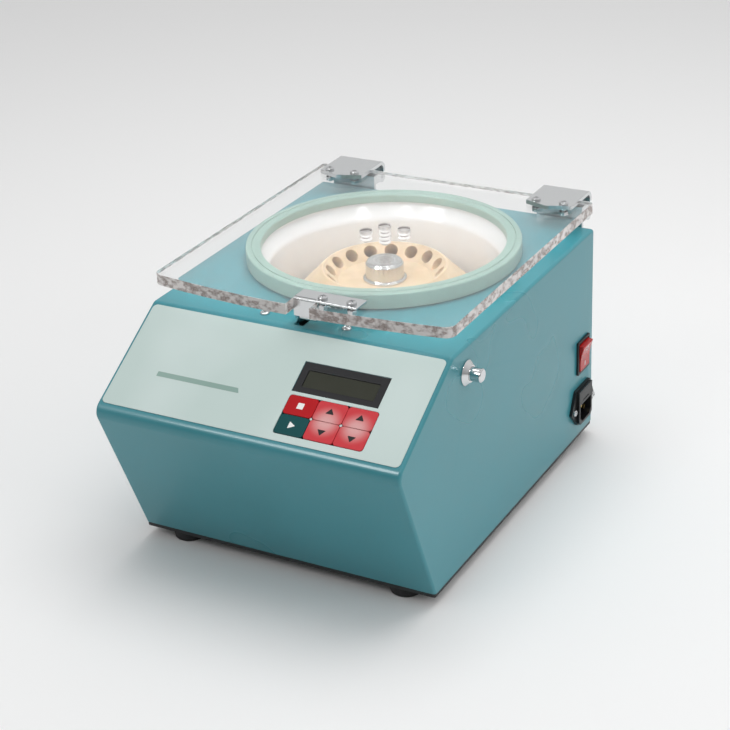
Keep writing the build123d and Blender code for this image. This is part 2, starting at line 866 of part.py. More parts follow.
# Lock rod, guided by the bracket, with the button on its outer end
rod_end = side_x + rod_in_button
with BuildPart() as lock_rod:
    with BuildSketch(Plane.YZ.offset(mid_x + rod_tail)):
        with Locations((button_y, button_z)):
            Circle(rod_radius)
    extrude(amount=rod_end - mid_x - rod_tail)
lock_rod.part.label = "lock_rod"
export_step(lock_rod.part, "parts/lock_rod.step")

with BuildPart() as lock_button:
    with BuildSketch(Plane.YZ.offset(side_x - button_tail)):
        with Locations((button_y, button_z)):
            Circle(button_radius)
    extrude(amount=button_tail + button_reach)
    chamfer(lock_button.edges().group_by(Axis.X)[-1], button_edge)
    with BuildSketch(Plane.YZ.offset(side_x - button_tail)):
        with Locations((button_y, button_z)):
            Circle(rod_radius + press_gap)
    extrude(amount=button_tail + rod_in_button, mode=Mode.SUBTRACT)
lock_button.part.label = "lock_button"
export_step(lock_button.part, "parts/lock_button.step")

# Bush: a cone on the outside of the wall and a threaded tail through it
button_axis = Axis((side_x, button_y, button_z), (1, 0, 0))
bush_plane = Plane(origin=(side_x, button_y, button_z), x_dir=(1, 0, 0), z_dir=(0, -1, 0))
with BuildPart() as lock_bush:
    with BuildSketch(bush_plane):
        with BuildLine():
            Polyline(
                (-bush_tail, button_radius + running_gap),
                (bush_reach, button_radius + running_gap),
                (bush_reach, bush_nose_radius),
                (bush_rim, bush_flange_radius),
                (0, bush_flange_radius),
                (0, bush_thread_radius),
                (-bush_tail, bush_thread_radius),
                close=True,
            )
        make_face()
    revolve(axis=button_axis)
lock_bush.part.label = "lock_bush"
export_step(lock_bush.part, "parts/lock_bush.step")

with BuildPart() as lock_bush_nut:
    add(hex_nuts(
        Plane(origin=(side_x - sheet, 0, 0), x_dir=(0, 1, 0), z_dir=(1, 0, 0)),
        [(button_y, button_z)],
        bush_nut_flats,
        bush_nut_height,
        bush_thread_radius + press_gap,
    ))
lock_bush_nut.part.label = "lock_bush_nut"
export_step(lock_bush_nut.part, "parts/lock_bush_nut.step")

# Lock bracket: a hat section under the deck that guides the rod on both sides of the hook
bracket_top = deck_z - sheet
bracket_low = bracket_top - lock_bracket_height
with BuildPart() as lock_bracket:
    with BuildSketch(Plane.XZ.offset(-front_y - lock_bracket_front)):
        with BuildLine():
            Polyline(
                (mid_x - lock_tab_x, bracket_top),
                (mid_x - lock_cheek_x, bracket_top),
                (mid_x - lock_cheek_x, bracket_low),
                (mid_x + lock_cheek_x, bracket_low),
                (mid_x + lock_cheek_x, bracket_top),
                (mid_x + lock_tab_x, bracket_top),
            )
            offset(amount=lock_sheet, side=Side.RIGHT)
        make_face()
    extrude(amount=-lock_bracket_depth)
    with BuildSketch(Plane.XY.offset(bracket_top)):
        with Locations(*lock_screw_places):
            Circle(screw_radius + screw_clearance)
    extrude(amount=-lock_sheet, mode=Mode.SUBTRACT)
    with BuildSketch(Plane.YZ.offset(mid_x - lock_tab_x)):
        with Locations((button_y, button_z)):
            Circle(rod_radius + running_gap)
    extrude(amount=2 * lock_tab_x, mode=Mode.SUBTRACT)
lock_bracket.part.label = "lock_bracket"
export_step(lock_bracket.part, "parts/lock_bracket.step")

with BuildPart() as lock_screws:
    add(pan_screws(Plane.XY.offset(deck_z), lock_screw_places, sheet + lock_sheet + screw_end))
lock_screws.part.label = "lock_screws"
export_step(lock_screws.part, "parts/lock_screws.step")

with BuildPart() as lock_nuts:
    add(hex_nuts(Plane.XY.offset(bracket_top - lock_sheet), lock_screw_places))
lock_nuts.part.label = "lock_nuts"
export_step(lock_nuts.part, "parts/lock_nuts.step")

# Panel label with windows for the display and the keys
with BuildPart() as panel_label:
    with BuildSketch(panel_plane):
        with Locations((0, label_start + label_height / 2)):
            RectangleRounded(body_width - 2 * label_side, label_height, label_corner)
        with Locations((display_x, display_up)):
            Rectangle(display_width + 2 * panel_gap, display_height + 2 * panel_gap, mode=Mode.SUBTRACT)
        with Locations((keypad_x, keypad_up)):
            RectangleRounded(keypad_width, keypad_height, key_corner, mode=Mode.SUBTRACT)
    extrude(amount=label_thickness)
panel_label.part.label = "panel_label"
export_step(panel_label.part, "parts/panel_label.step")

# Display: frame on the board, glass in its window
with BuildPart() as display_frame:
    with BuildSketch(panel_plane.offset(-board_drop)):
        with Locations((display_x, display_up)):
            Rectangle(display_width, display_height)
    extrude(amount=board_drop + display_rise)
    with BuildSketch(panel_plane.offset(display_rise)):
        with Locations((display_x, glass_up)):
            Rectangle(glass_width, glass_height)
    extrude(amount=-glass_recess - glass_thickness, mode=Mode.SUBTRACT)
display_frame.part.label = "display_frame"
export_step(display_frame.part, "parts/display_frame.step")

with BuildPart() as display_glass:
    with BuildSketch(panel_plane.offset(display_rise - glass_recess - glass_thickness)):
        with Locations((display_x, glass_up)):
            Rectangle(glass_width - panel_gap, glass_height - panel_gap)
    extrude(amount=glass_thickness)
display_glass.part.label = "display_glass"
export_step(display_glass.part, "parts/display_glass.step")

with BuildPart() as display_board:
    with BuildSketch(panel_plane.offset(-board_drop - board_thickness)):
        with Locations((board_centre_x, board_centre_up)):
            Rectangle(board_width, board_height)
    extrude(amount=board_thickness)
display_board.part.label = "display_board"
export_step(display_board.part, "parts/display_board.step")

with BuildPart() as board_spacers:
    with BuildSketch(panel_plane.offset(-board_drop)):
        with Locations(*spacer_places):
            Circle(spacer_radius)
    extrude(amount=board_drop - sheet)
board_spacers.part.label = "board_spacers"
export_step(board_spacers.part, "parts/board_spacers.step")

with BuildPart() as key_switches:
    with BuildSketch(panel_plane.offset(-board_drop)):
        with Locations(*key_places.values()):
            Rectangle(key_switch_size, key_switch_size)
    extrude(amount=key_switch_height)
key_switches.part.label = "key_switches"
export_step(key_switches.part, "parts/key_switches.step")

# Keys: caps in one window, each with a stem over its switch
key_top = label_thickness + key_proud
stem_length = board_drop - key_switch_height - key_stop_gap - key_depth + key_top
for key_name, key_place in key_places.items():
    with BuildPart() as key:
        with BuildSketch(panel_plane.offset(key_top)):
            with Locations(key_place):
                RectangleRounded(key_width, key_height, key_corner)
        extrude(amount=-key_depth)
        with BuildSketch(panel_plane.offset(key_top - key_depth)):
            with Locations(key_place):
                Circle(key_stem_radius)
        extrude(amount=-stem_length)
    key.part.label = key_name
    export_step(key.part, "parts/" + key_name + ".step")

# Power switch: frame and body, with a pocket for the rocker
pocket_width = switch_body_width - 2 * switch_wall
pocket_height = switch_body_height - 2 * switch_wall
with BuildPart() as switch_body:
    with BuildSketch(side_plane):
        with Locations((switch_y, switch_z)):
            RectangleRounded(switch_frame_width, switch_frame_height, switch_frame_corner)
    extrude(amount=switch_frame_rise)
    with BuildSketch(side_plane):
        with Locations((switch_y, switch_z)):
            Rectangle(switch_body_width, switch_body_height)
    extrude(amount=-switch_body_depth)
    with BuildSketch(side_plane.offset(switch_frame_rise)):
        with Locations((switch_y, switch_z)):
            Rectangle(pocket_width, pocket_height)
    extrude(amount=-switch_pocket_depth - switch_frame_rise, mode=Mode.SUBTRACT)
    with BuildSketch(Plane.XZ.offset(-switch_y)):
        with Locations((side_x, switch_z)):
            Circle(rocker_pivot_radius + running_gap)
    extrude(amount=pocket_width / 2 + rocker_pivot_reach, both=True, mode=Mode.SUBTRACT)
switch_body.part.label = "switch_body"
export_step(switch_body.part, "parts/switch_body.step")

# Rocker: two faces that meet in a shallow valley, drawn tipped with its upper end out
rocker_width = pocket_width - 2 * rocker_side_gap
rocker_half = pocket_height / 2 - rocker_end_gap
tilt = math.radians(rocker_tilt)
rocker_plane = Plane(
    origin=(side_x, switch_y, switch_z),
    x_dir=(math.cos(tilt), 0, -math.sin(tilt)),
    z_dir=(0, -1, 0),
)
with BuildPart() as switch_rocker:
    with BuildSketch(rocker_plane):
        with BuildLine():
            Polyline(
                (-rocker_root, -rocker_half),
                (rocker_end_rise, -rocker_half),
                (rocker_mid_rise, 0),
                (rocker_end_rise, rocker_half),
                (-rocker_root, rocker_half),
                close=True,
            )
        make_face()
    extrude(amount=rocker_width / 2, both=True)
    end_edges = switch_rocker.edges().filter_by(Axis.Y).group_by(Axis.X)
    fillet(end_edges[-1], rocker_edge)
    with BuildSketch(rocker_plane):
        Circle(rocker_pivot_radius)
    extrude(amount=rocker_width / 2 + rocker_side_gap + rocker_pivot_reach / 2, both=True)
switch_rocker.part.label = "switch_rocker"
export_step(switch_rocker.part, "parts/switch_rocker.step")

with BuildPart() as switch_terminals:
    with BuildSketch(side_plane.offset(-switch_body_depth)):
        with Locations((switch_y, switch_z)):
            with GridLocations(switch_body_width / 2, switch_body_height / 2, 2, 2):
                Rectangle(terminal_width, terminal_thickness)
    extrude(amount=-terminal_length)
switch_terminals.part.label = "switch_terminals"
export_step(switch_terminals.part, "parts/switch_terminals.step")

# Mains inlet: eared flange, raised block, appliance socket below and fuse drawer above
inlet_plane = Plane(origin=(side_x, inlet_y, inlet_z), x_dir=(0, 1, 0), z_dir=(1, 0, 0))
with BuildPart() as inlet_body:
    with BuildSketch(inlet_plane) as inlet_outline:
        with BuildLine():
            Polyline(
                (-inlet_top_half, inlet_top),
                (inlet_top_half, inlet_top),
                (inlet_ear_half, inlet_ear_low),
                (inlet_bottom_half, inlet_bottom),
                (-inlet_bottom_half, inlet_bottom),
                (-inlet_ear_half, inlet_ear_low),
                close=True,
            )
        make_face()
        fillet(inlet_outline.vertices(), 2.0)
        with Locations(*[(side * ear_screw_half, ear_screw_height) for side in (-1, 1)]):
            Circle(ear_screw_shank + screw_clearance, mode=Mode.SUBTRACT)
    extrude(amount=inlet_flange)
    with BuildSketch(inlet_plane) as inlet_block:
        with Locations((0, (inlet_block_top + inlet_block_bottom) / 2)):
            Rectangle(2 * inlet_block_half, inlet_block_top - inlet_block_bottom)
        chamfer(inlet_block.vertices().group_by(Axis.Y)[0], inlet_block_corner)
    extrude(amount=inlet_block_rise)
    extrude(inlet_block.sketch, amount=-inlet_depth)
    with BuildSketch(inlet_plane.offset(inlet_block_rise)) as socket_outline:
        with Locations((0, (socket_top + socket_bottom) / 2)):
            Rectangle(2 * socket_half, socket_top - socket_bottom)
        chamfer(socket_outline.vertices().group_by(Axis.Y)[0], socket_corner)
    extrude(amount=-socket_depth, mode=Mode.SUBTRACT)
    with BuildSketch(inlet_plane.offset(inlet_block_rise)):
        with Locations((0, (drawer_top + drawer_bottom) / 2)):
            Rectangle(2 * (drawer_half + drawer_gap), drawer_top - drawer_bottom + 2 * drawer_gap)
    extrude(amount=-drawer_depth - drawer_gap, mode=Mode.SUBTRACT)
inlet_body.part.label = "inlet_body"
export_step(inlet_body.part, "parts/inlet_body.step")

socket_floor = inlet_plane.offset(inlet_block_rise - socket_depth)
with BuildPart() as inlet_pins:
    with BuildSketch(socket_floor):
        with Locations((-blade_side, blade_drop), (blade_side, blade_drop), (0, blade_drop + blade_earth)):
            Rectangle(blade_thickness, blade_width)
    extrude(amount=blade_length)
inlet_pins.part.label = "inlet_pins"
export_step(inlet_pins.part, "parts/inlet_pins.step")

with BuildPart() as inlet_screws:
    add(pan_screws(
        inlet_plane.offset(inlet_flange),
        [(side * ear_screw_half, ear_screw_height) for side in (-1, 1)],
        inlet_flange + 3 * sheet,
        ear_screw_shank,
        ear_screw_head,
        head_height,
    ))
inlet_screws.part.label = "inlet_screws"
export_step(inlet_screws.part, "parts/inlet_screws.step")

# Fuse drawer with a tray for two fuses, and the fuses in it
drawer_front = inlet_plane.offset(inlet_block_rise)
drawer_mid = (drawer_top + drawer_bottom) / 2
tray_depth = 2 * fuse_pitch
with BuildPart() as fuse_drawer:
    with BuildSketch(drawer_front.offset(-drawer_depth)):
        with Locations((0, drawer_mid)):
            Rectangle(2 * drawer_half, drawer_top - drawer_bottom)
    extrude(amount=drawer_depth)
    with BuildSketch(Plane.XY.offset(inlet_z + drawer_top)):
        with Locations((side_x + inlet_block_rise - drawer_depth + fuse_pitch + drawer_lip, inlet_y)):
            Rectangle(tray_depth, fuse_length + 2 * drawer_gap)
    extrude(amount=-(drawer_top - drawer_bottom) + drawer_lip, mode=Mode.SUBTRACT)
    with BuildSketch(drawer_front):
        with Locations((0, drawer_bottom + drawer_lip)):
            Rectangle(drawer_half, drawer_lip)
    extrude(amount=-drawer_lip, mode=Mode.SUBTRACT)
fuse_drawer.part.label = "fuse_drawer"
export_step(fuse_drawer.part, "parts/fuse_drawer.step")

tray_x = side_x + inlet_block_rise - drawer_depth + drawer_lip
with BuildPart() as fuses:
    with BuildSketch(Plane.XZ.offset(-inlet_y)):
        with Locations(*[
            (tray_x + (k + 0.5) * fuse_pitch, inlet_z + drawer_bottom + drawer_lip + fuse_radius + press_gap)
            for k in (0, 1)
        ]):
            Circle(fuse_radius)
    extrude(amount=fuse_length / 2, both=True)
fuses.part.label = "fuses"
export_step(fuses.part, "parts/fuses.step")

# Rotor: a solid turned body with a dished top, its tube pockets square to the dish
rotor_floor_z = chamber_z + rotor_floor_rise
rotor_seat_z = chamber_z + rotor_seat_rise
rim_z = rotor_floor_z + rim_radius - dish_radius
skirt_top_z = rim_z - (skirt_radius - rim_radius)
skirt_low_z = chamber_z + skirt_rise
web_z = rotor_floor_z - web_thickness
pocket_mouth_z = rotor_floor_z + pocket_circle_radius - dish_radius
with BuildPart() as tube_pocket:
    with BuildSketch(Plane.XZ) as pocket_section:
        with BuildLine():
            Polyline(
                (0, pocket_radius),
                (pocket_radius, pocket_radius),
                (pocket_radius, pocket_tip_length - pocket_depth),
                (pocket_tip_radius, -pocket_depth),
                (0, -pocket_depth),
                close=True,
            )
        make_face()
    revolve(axis=Axis.Z)

with BuildPart() as rotor:
    with BuildSketch(spin_plane) as rotor_section:
        with BuildLine():
            Polyline(
                (hub_bore_radius, rotor_floor_z),
                (dish_radius, rotor_floor_z),
                (rim_radius, rim_z),
                (skirt_radius, skirt_top_z),
                (skirt_radius, skirt_low_z),
                (underside_radius, skirt_low_z),
                (underside_radius + skirt_low_z - web_z, web_z),
                (hub_radius, web_z),
                (hub_radius, rotor_seat_z),
                (hub_bore_radius, rotor_seat_z),
                close=True,
            )
        make_face()
        fillet(rotor_section.vertices().sort_by_distance((rim_radius, rim_z))[0], rim_edge)
        fillet(rotor_section.vertices().sort_by_distance((skirt_radius, skirt_top_z))[0], skirt_edge)
        fillet(rotor_section.vertices().sort_by_distance((skirt_radius, skirt_low_z))[0], skirt_edge)
    revolve(axis=spin_axis)
    for k in range(pocket_count):
        angle = math.radians(pocket_phase + 360 * k / pocket_count)
        pocket_plane = Plane(
            origin=(
                mid_x + pocket_circle_radius * math.cos(angle),
                chamber_y + pocket_circle_radius * math.sin(angle),
                pocket_mouth_z,
            ),
            x_dir=(-math.sin(angle), math.cos(angle), 0),
            z_dir=(-math.cos(angle), -math.sin(angle), 1),
        )
        add(tube_pocket.part.moved(pocket_plane.location), mode=Mode.SUBTRACT)
rotor.part.label = "rotor"
export_step(rotor.part, "parts/rotor.step")

# Rotor knob: turned nut with a flange that clamps the rotor
with BuildPart() as rotor_knob:
    with BuildSketch(Plane.XY.offset(rotor_floor_z)):
        with Locations((mid_x, chamber_y)):
            Circle(knob_flange_radius)
    extrude(amount=knob_flange)
    with BuildSketch(Plane.XY.offset(rotor_floor_z)):
        with Locations((mid_x, chamber_y)):
            Circle(knob_radius)
    extrude(amount=knob_height)
    chamfer(rotor_knob.edges().group_by(Axis.Z)[-1], knob_chamfer)
    with BuildSketch(Plane.XY.offset(rotor_floor_z)):
        with Locations((mid_x, chamber_y)):
            Circle(shaft_thread_radius + press_gap)
    extrude(amount=knob_thread_depth, mode=Mode.SUBTRACT)
rotor_knob.part.label = "rotor_knob"
export_step(rotor_knob.part, "parts/rotor_knob.step")

# Motor: plate on rubber bushes, case and cap with a bearing each, stator and armature
plate_z = floor_z + motor_bush_height
case_z = plate_z + motor_plate_thickness
cap_z = case_z + motor_case_height
cap_top = cap_z + motor_cap_height
low_bearing_z = case_z + bearing_seat
high_bearing_z = cap_top - bearing_seat - bearing_width
shaft_low_z = case_z + seat_gap
armature_z = case_z + (motor_case_height - armature_height) / 2 + bearing_seat
with BuildPart() as drive_shaft:
    with BuildSketch(Plane.XY.offset(shaft_low_z)):
        with Locations((mid_x, chamber_y)):
            Circle(shaft_radius)
    extrude(amount=rotor_floor_z - press_gap - shaft_low_z)
    with BuildSketch(Plane.XY.offset(cap_top + seat_gap)):
        with Locations((mid_x, chamber_y)):
            Circle(shaft_shoulder_radius)
    extrude(amount=rotor_seat_z - cap_top - seat_gap)
    with BuildSketch(Plane.XY.offset(rotor_floor_z - press_gap)):
        with Locations((mid_x, chamber_y)):
            Circle(shaft_thread_radius)
    extrude(amount=knob_thread_depth)
drive_shaft.part.label = "drive_shaft"
export_step(drive_shaft.part, "parts/drive_shaft.step")

with BuildPart() as motor_case:
    with BuildSketch(spin_plane):
        with BuildLine():
            Polyline(
                (shaft_radius + 1, case_z),
                (motor_radius, case_z),
                (motor_radius, cap_z),
                (motor_radius - motor_wall, cap_z),
                (motor_radius - motor_wall, case_z + motor_wall),
                (bearing_radius + motor_wall, case_z + motor_wall),
                (bearing_radius + motor_wall, low_bearing_z + bearing_width),
                (bearing_radius + press_gap, low_bearing_z + bearing_width),
                (bearing_radius + press_gap, low_bearing_z),
                (shaft_radius + 1, low_bearing_z),
                close=True,
            )
        make_face()
    revolve(axis=spin_axis)
    with BuildSketch(Plane.XY.offset(case_z)):
        with Locations(*motor_screw_places):
            Circle(screw_radius + press_gap)
    extrude(amount=motor_wall, mode=Mode.SUBTRACT)
motor_case.part.label = "motor_case"
export_step(motor_case.part, "parts/motor_case.step")

with BuildPart() as motor_cap:
    with BuildSketch(spin_plane):
        with BuildLine():
            Polyline(
                (shaft_radius + 1, cap_top),
                (bearing_radius + 2 * motor_wall, cap_top),
                (motor_radius, cap_z + motor_wall),
                (motor_radius, cap_z),
                (bearing_radius + motor_wall, cap_z),
                (bearing_radius + motor_wall, high_bearing_z),
                (bearing_radius + press_gap, high_bearing_z),
                (bearing_radius + press_gap, high_bearing_z + bearing_width),
                (shaft_radius + 1, high_bearing_z + bearing_width),
                close=True,
            )
        make_face()
    revolve(axis=spin_axis)
motor_cap.part.label = "motor_cap"
export_step(motor_cap.part, "parts/motor_cap.step")

with BuildPart() as motor_bearings:
    for bearing_z in (low_bearing_z, high_bearing_z):
        with BuildSketch(Plane.XY.offset(bearing_z)):
            with Locations((mid_x, chamber_y)):
                Circle(bearing_radius)
                Circle(shaft_radius + shaft_gap, mode=Mode.SUBTRACT)
        extrude(amount=bearing_width)
motor_bearings.part.label = "motor_bearings"
export_step(motor_bearings.part, "parts/motor_bearings.step")

with BuildPart() as motor_stator:
    with BuildSketch(Plane.XY.offset(armature_z)):
        with Locations((mid_x, chamber_y)):
            Circle(motor_radius - motor_wall - seat_gap / 2)
            Circle(stator_bore, mode=Mode.SUBTRACT)
    extrude(amount=stator_height)
motor_stator.part.label = "motor_stator"
export_step(motor_stator.part, "parts/motor_stator.step")

with BuildPart() as motor_armature:
    with BuildSketch(Plane.XY.offset(armature_z)):
        with Locations((mid_x, chamber_y)):
            Circle(stator_bore - armature_gap)
            Circle(shaft_radius + press_gap, mode=Mode.SUBTRACT)
    extrude(amount=armature_height)
motor_armature.part.label = "motor_armature"
export_step(motor_armature.part, "parts/motor_armature.step")

with BuildPart() as motor_plate:
    with BuildSketch(Plane.XY.offset(plate_z)):
        with Locations((mid_x, chamber_y)):
            Circle(motor_plate_radius)
            Circle(bearing_radius, mode=Mode.SUBTRACT)
        with Locations(*motor_screw_places, *bush_places):
            Circle(screw_radius + screw_clearance, mode=Mode.SUBTRACT)
    extrude(amount=motor_plate_thickness)
motor_plate.part.label = "motor_plate"
export_step(motor_plate.part, "parts/motor_plate.step")

motor_screw_seat = Plane(origin=(0, 0, plate_z), x_dir=(1, 0, 0), z_dir=(0, 0, -1))
with BuildPart() as motor_screws:
    add(pan_screws(
        motor_screw_seat, [(x, -y) for x, y in motor_screw_places], motor_plate_thickness + motor_wall))
motor_screws.part.label = "motor_screws"
export_step(motor_screws.part, "parts/motor_screws.step")

# Rubber bushes between the base plate and the motor plate, waisted, with a stud through each
with BuildPart() as motor_bushes:
    for bush_x, bush_y in bush_places:
        bush_centre = Plane(origin=(bush_x, bush_y, floor_z), x_dir=(1, 0, 0), z_dir=(0, -1, 0))
        with BuildSketch(bush_centre):
            with BuildLine():
                Polyline(
                    (screw_radius + press_gap, motor_bush_height),
                    (screw_radius + press_gap, 0),
                    (motor_bush_radius, 0),
                )
                ThreePointArc(
                    (motor_bush_radius, 0),
                    (motor_bush_waist, motor_bush_height / 2),
                    (motor_bush_radius, motor_bush_height),
                )
                Line((motor_bush_radius, motor_bush_height), (screw_radius + press_gap, motor_bush_height))
            make_face()
        revolve(axis=Axis((bush_x, bush_y, 0), (0, 0, 1)))
motor_bushes.part.label = "motor_bushes"
export_step(motor_bushes.part, "parts/motor_bushes.step")

with BuildPart() as bush_studs:
    with BuildSketch(Plane.XY.offset(foot_height)):
        with Locations(*bush_places):
            Circle(screw_radius)
    extrude(amount=base_thickness + motor_bush_height + motor_plate_thickness + nut_height)
bush_studs.part.label = "bush_studs"
export_step(bush_studs.part, "parts/bush_studs.step")

# Rubber boot that closes the bowl's outlet round the shaft
with BuildPart() as shaft_boot:
    with BuildSketch(spin_plane):
        with BuildLine():
            Polyline(
                (bowl_outlet_radius - boot_wall, cap_top + seat_gap),
                (bowl_outlet_radius - seat_gap, cap_top + seat_gap),
                (bowl_outlet_radius - seat_gap, chamber_z),
                (boot_flange_radius, chamber_z),
                (boot_flange_radius, chamber_z + boot_flange),
                (bowl_outlet_radius - boot_wall, chamber_z + boot_flange),
                close=True,
            )
        make_face()
    revolve(axis=spin_axis)
shaft_boot.part.label = "shaft_boot"
export_step(shaft_boot.part, "parts/shaft_boot.step")

# Control board on standoffs, with a finned heat sink
board_z = floor_z + standoff_height
with BuildPart() as control_board:
    with BuildSketch(Plane.XY.offset(board_z)):
        with Locations((control_x, control_y)):
            Rectangle(control_width, control_depth)
    extrude(amount=board_thickness)
control_board.part.label = "control_board"
export_step(control_board.part, "parts/control_board.step")

with BuildPart() as control_standoffs:
    with BuildSketch(Plane.XY.offset(floor_z)):
        with Locations(*standoff_places):
            Circle(standoff_radius)
    extrude(amount=standoff_height)
control_standoffs.part.label = "control_standoffs"
export_step(control_standoffs.part, "parts/control_standoffs.step")

with BuildPart() as heat_sink:
    with BuildSketch(Plane.XY.offset(board_z + board_thickness)):
        with Locations((control_x, control_y)):
            Rectangle(heat_sink_width, heat_sink_depth)
            with GridLocations(0, heat_sink_depth / fin_count, 1, fin_count):
                with Locations((heat_sink_width / 2, 0)):
                    Rectangle(
                        fin_depth, heat_sink_depth / fin_count / 2, align=(Align.MAX, Align.CENTER),
                        mode=Mode.SUBTRACT)
    extrude(amount=heat_sink_height)
heat_sink.part.label = "heat_sink"
export_step(heat_sink.part, "parts/heat_sink.step")
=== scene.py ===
import logging
import math
from dataclasses import dataclass, field
from enum import Enum

import bpy
import numpy as np
from mathutils import Matrix, Vector
from mathutils.geometry import delaunay_2d_cdt


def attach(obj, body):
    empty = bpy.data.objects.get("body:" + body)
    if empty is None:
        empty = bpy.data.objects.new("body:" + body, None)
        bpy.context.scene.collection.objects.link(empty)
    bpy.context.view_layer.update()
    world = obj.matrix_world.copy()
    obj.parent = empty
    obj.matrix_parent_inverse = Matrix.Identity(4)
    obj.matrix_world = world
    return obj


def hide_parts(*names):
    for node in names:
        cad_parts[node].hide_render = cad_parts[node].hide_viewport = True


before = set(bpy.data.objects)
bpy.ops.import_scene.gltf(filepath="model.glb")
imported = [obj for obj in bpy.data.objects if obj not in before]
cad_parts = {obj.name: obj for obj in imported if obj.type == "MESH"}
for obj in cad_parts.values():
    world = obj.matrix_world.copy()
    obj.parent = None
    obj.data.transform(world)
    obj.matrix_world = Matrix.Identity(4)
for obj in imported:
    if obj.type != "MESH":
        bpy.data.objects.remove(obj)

LOG = logging.getLogger("microcentrifuge")
Array = np.ndarray
Pair = tuple[float, float]
Triple = tuple[float, float, float]
Tree, Node, Socket = bpy.types.NodeTree, bpy.types.Node, bpy.types.NodeSocket
MM = 0.001


@dataclass(frozen=True)
class Datums:
    """Sizes that several pieces share, in millimetres in the solids' frame: +X right, +Y back, +Z up."""

    width: float = 260.0
    depth: float = 309.3
    deck_rise: float = 179.5
    ridge_lead: float = 52.2
    ridge_rise: float = 125.2
    deck_start: float = 38.3
    floor: float = 12.0
    middle: float = -6.75
    front: float = -140.6778
    chamber_back: float = 129.6
    lid_rise: float = 13.7
    lid_thickness: float = 8.9

    @property
    def rear(self) -> float:
        """Y of the rear wall."""
        return self.front + self.depth

    @property
    def side(self) -> float:
        """X of the right wall."""
        return self.middle + self.width / 2

    @property
    def deck(self) -> float:
        """Z of the flat top."""
        return self.floor + self.deck_rise

    @property
    def chamber(self) -> Pair:
        """X and Y of the rotor's axis."""
        return (self.middle, self.rear - self.chamber_back)

    @property
    def lid_low(self) -> float:
        """Z of the lid's underside."""
        return self.deck + self.lid_rise

    @property
    def lid_top(self) -> float:
        """Z of the lid's upper face."""
        return self.lid_low + self.lid_thickness

    @property
    def button(self) -> Pair:
        """Y and Z of the release button."""
        return (self.front + 59.7, self.floor + 158.0)

    @property
    def switch(self) -> Pair:
        """Y and Z of the power switch."""
        return (self.rear - 23.8, self.floor + 73.6)

    @property
    def inlet(self) -> Pair:
        """Y and Z of the mains inlet."""
        return (self.rear - 26.3, self.floor + 29.0)

    @property
    def slope(self) -> float:
        """Angle of the control panel above level, in radians."""
        return math.atan2(self.deck_rise - self.ridge_rise, self.deck_start + self.ridge_lead)


D = Datums()


@dataclass(frozen=True)
class Seat:
    """A flat place that a shape is drawn on: a point and two directions along it."""

    origin: Triple
    across: Triple = (1.0, 0.0, 0.0)
    up: Triple = (0.0, 1.0, 0.0)

    @property
    def normal(self) -> Array:
        """Direction that the seat faces: across times up."""
        return np.cross(self.across, self.up)

    def lift(self, flat: Array, height: Array | float = 0.0) -> Array:
        """Sets drawn points on the seat.

        Args:
            flat: Points drawn on the seat, (..., 2).
            height: Distance above the seat, one value or one per point.

        Returns:
            Points in space, (..., 3): origin + u across + v up + height normal.
        """
        flat = np.asarray(flat, float)
        rise = np.broadcast_to(np.asarray(height, float), flat.shape[:-1])
        spread = flat[..., :1] * np.array(self.across) + flat[..., 1:2] * np.array(self.up)
        return np.array(self.origin) + spread + rise[..., None] * self.normal

    def raised(self, height: float) -> "Seat":
        """The same seat, moved along its normal."""
        return Seat(tuple(np.array(self.origin) + height * self.normal), self.across, self.up)


BENCH = Seat((0.0, 0.0, 0.0))
PANEL = Seat(
    (D.middle, D.front - D.ridge_lead, D.floor + D.ridge_rise),
    (1.0, 0.0, 0.0),
    (0.0, math.cos(D.slope), math.sin(D.slope)),
)
SIDE = Seat((D.side, 0.0, 0.0), (0.0, 1.0, 0.0), (0.0, 0.0, 1.0))
REAR = Seat((0.0, D.rear, 0.0), (-1.0, 0.0, 0.0), (0.0, 0.0, 1.0))
SECTION = Seat((0.0, 0.0, 0.0), (0.0, 1.0, 0.0), (0.0, 0.0, 1.0))
UNDER = Seat((0.0, 0.0, 0.0), (1.0, 0.0, 0.0), (0.0, -1.0, 0.0))


def ring(radius: float, count: int = 96, centre: Pair = (0.0, 0.0)) -> Array:
    """A circle of points, anticlockwise: centre + radius (cos t, sin t)."""
    turn = np.linspace(0.0, 2.0 * math.pi, count, endpoint=False)
    return np.stack([centre[0] + radius * np.cos(turn), centre[1] + radius * np.sin(turn)], axis=-1)


def soften(corners: Array | list[Pair], radii: Array | float, steps: int = 6, closed: bool = True) -> Array:
    """Rounds the corners of a line.

    Each corner becomes an arc between the two points that lie radius / tan(half the corner's angle) from it,
    swept about the point on the bisector at radius / sin(half).

    Args:
        corners: Corner points, (n, 2).
        radii: One radius, or one per corner.
        steps: Points along each arc.
        closed: Whether the line closes; an open line keeps its ends.

    Returns:
        The points of the rounded line.
    """
    corners = np.asarray(corners, float)
    radii = np.broadcast_to(np.asarray(radii, float), (len(corners),))
    out = []
    for k, corner in enumerate(corners):
        if radii[k] <= 0 or (not closed and k in (0, len(corners) - 1)):
            out.append(corner[None])
            continue
        to_last = corners[k - 1] - corner
        to_next = corners[(k + 1) % len(corners)] - corner
        to_last /= np.linalg.norm(to_last)
        to_next /= np.linalg.norm(to_next)
        half = math.acos(np.clip(to_last @ to_next, -1.0, 1.0)) / 2.0
        bisector = (to_last + to_next) / np.linalg.norm(to_last + to_next)
        centre = corner + bisector * radii[k] / math.sin(half)
        first = corner + to_last * radii[k] / math.tan(half) - centre
        last = corner + to_next * radii[k] / math.tan(half) - centre
        sweep = math.pi - 2.0 * half
        t = np.linspace(0.0, 1.0, steps)[:, None]
        out.append(centre + (np.sin((1 - t) * sweep) * first + np.sin(t * sweep) * last) / math.sin(sweep))
    return np.concatenate(out)


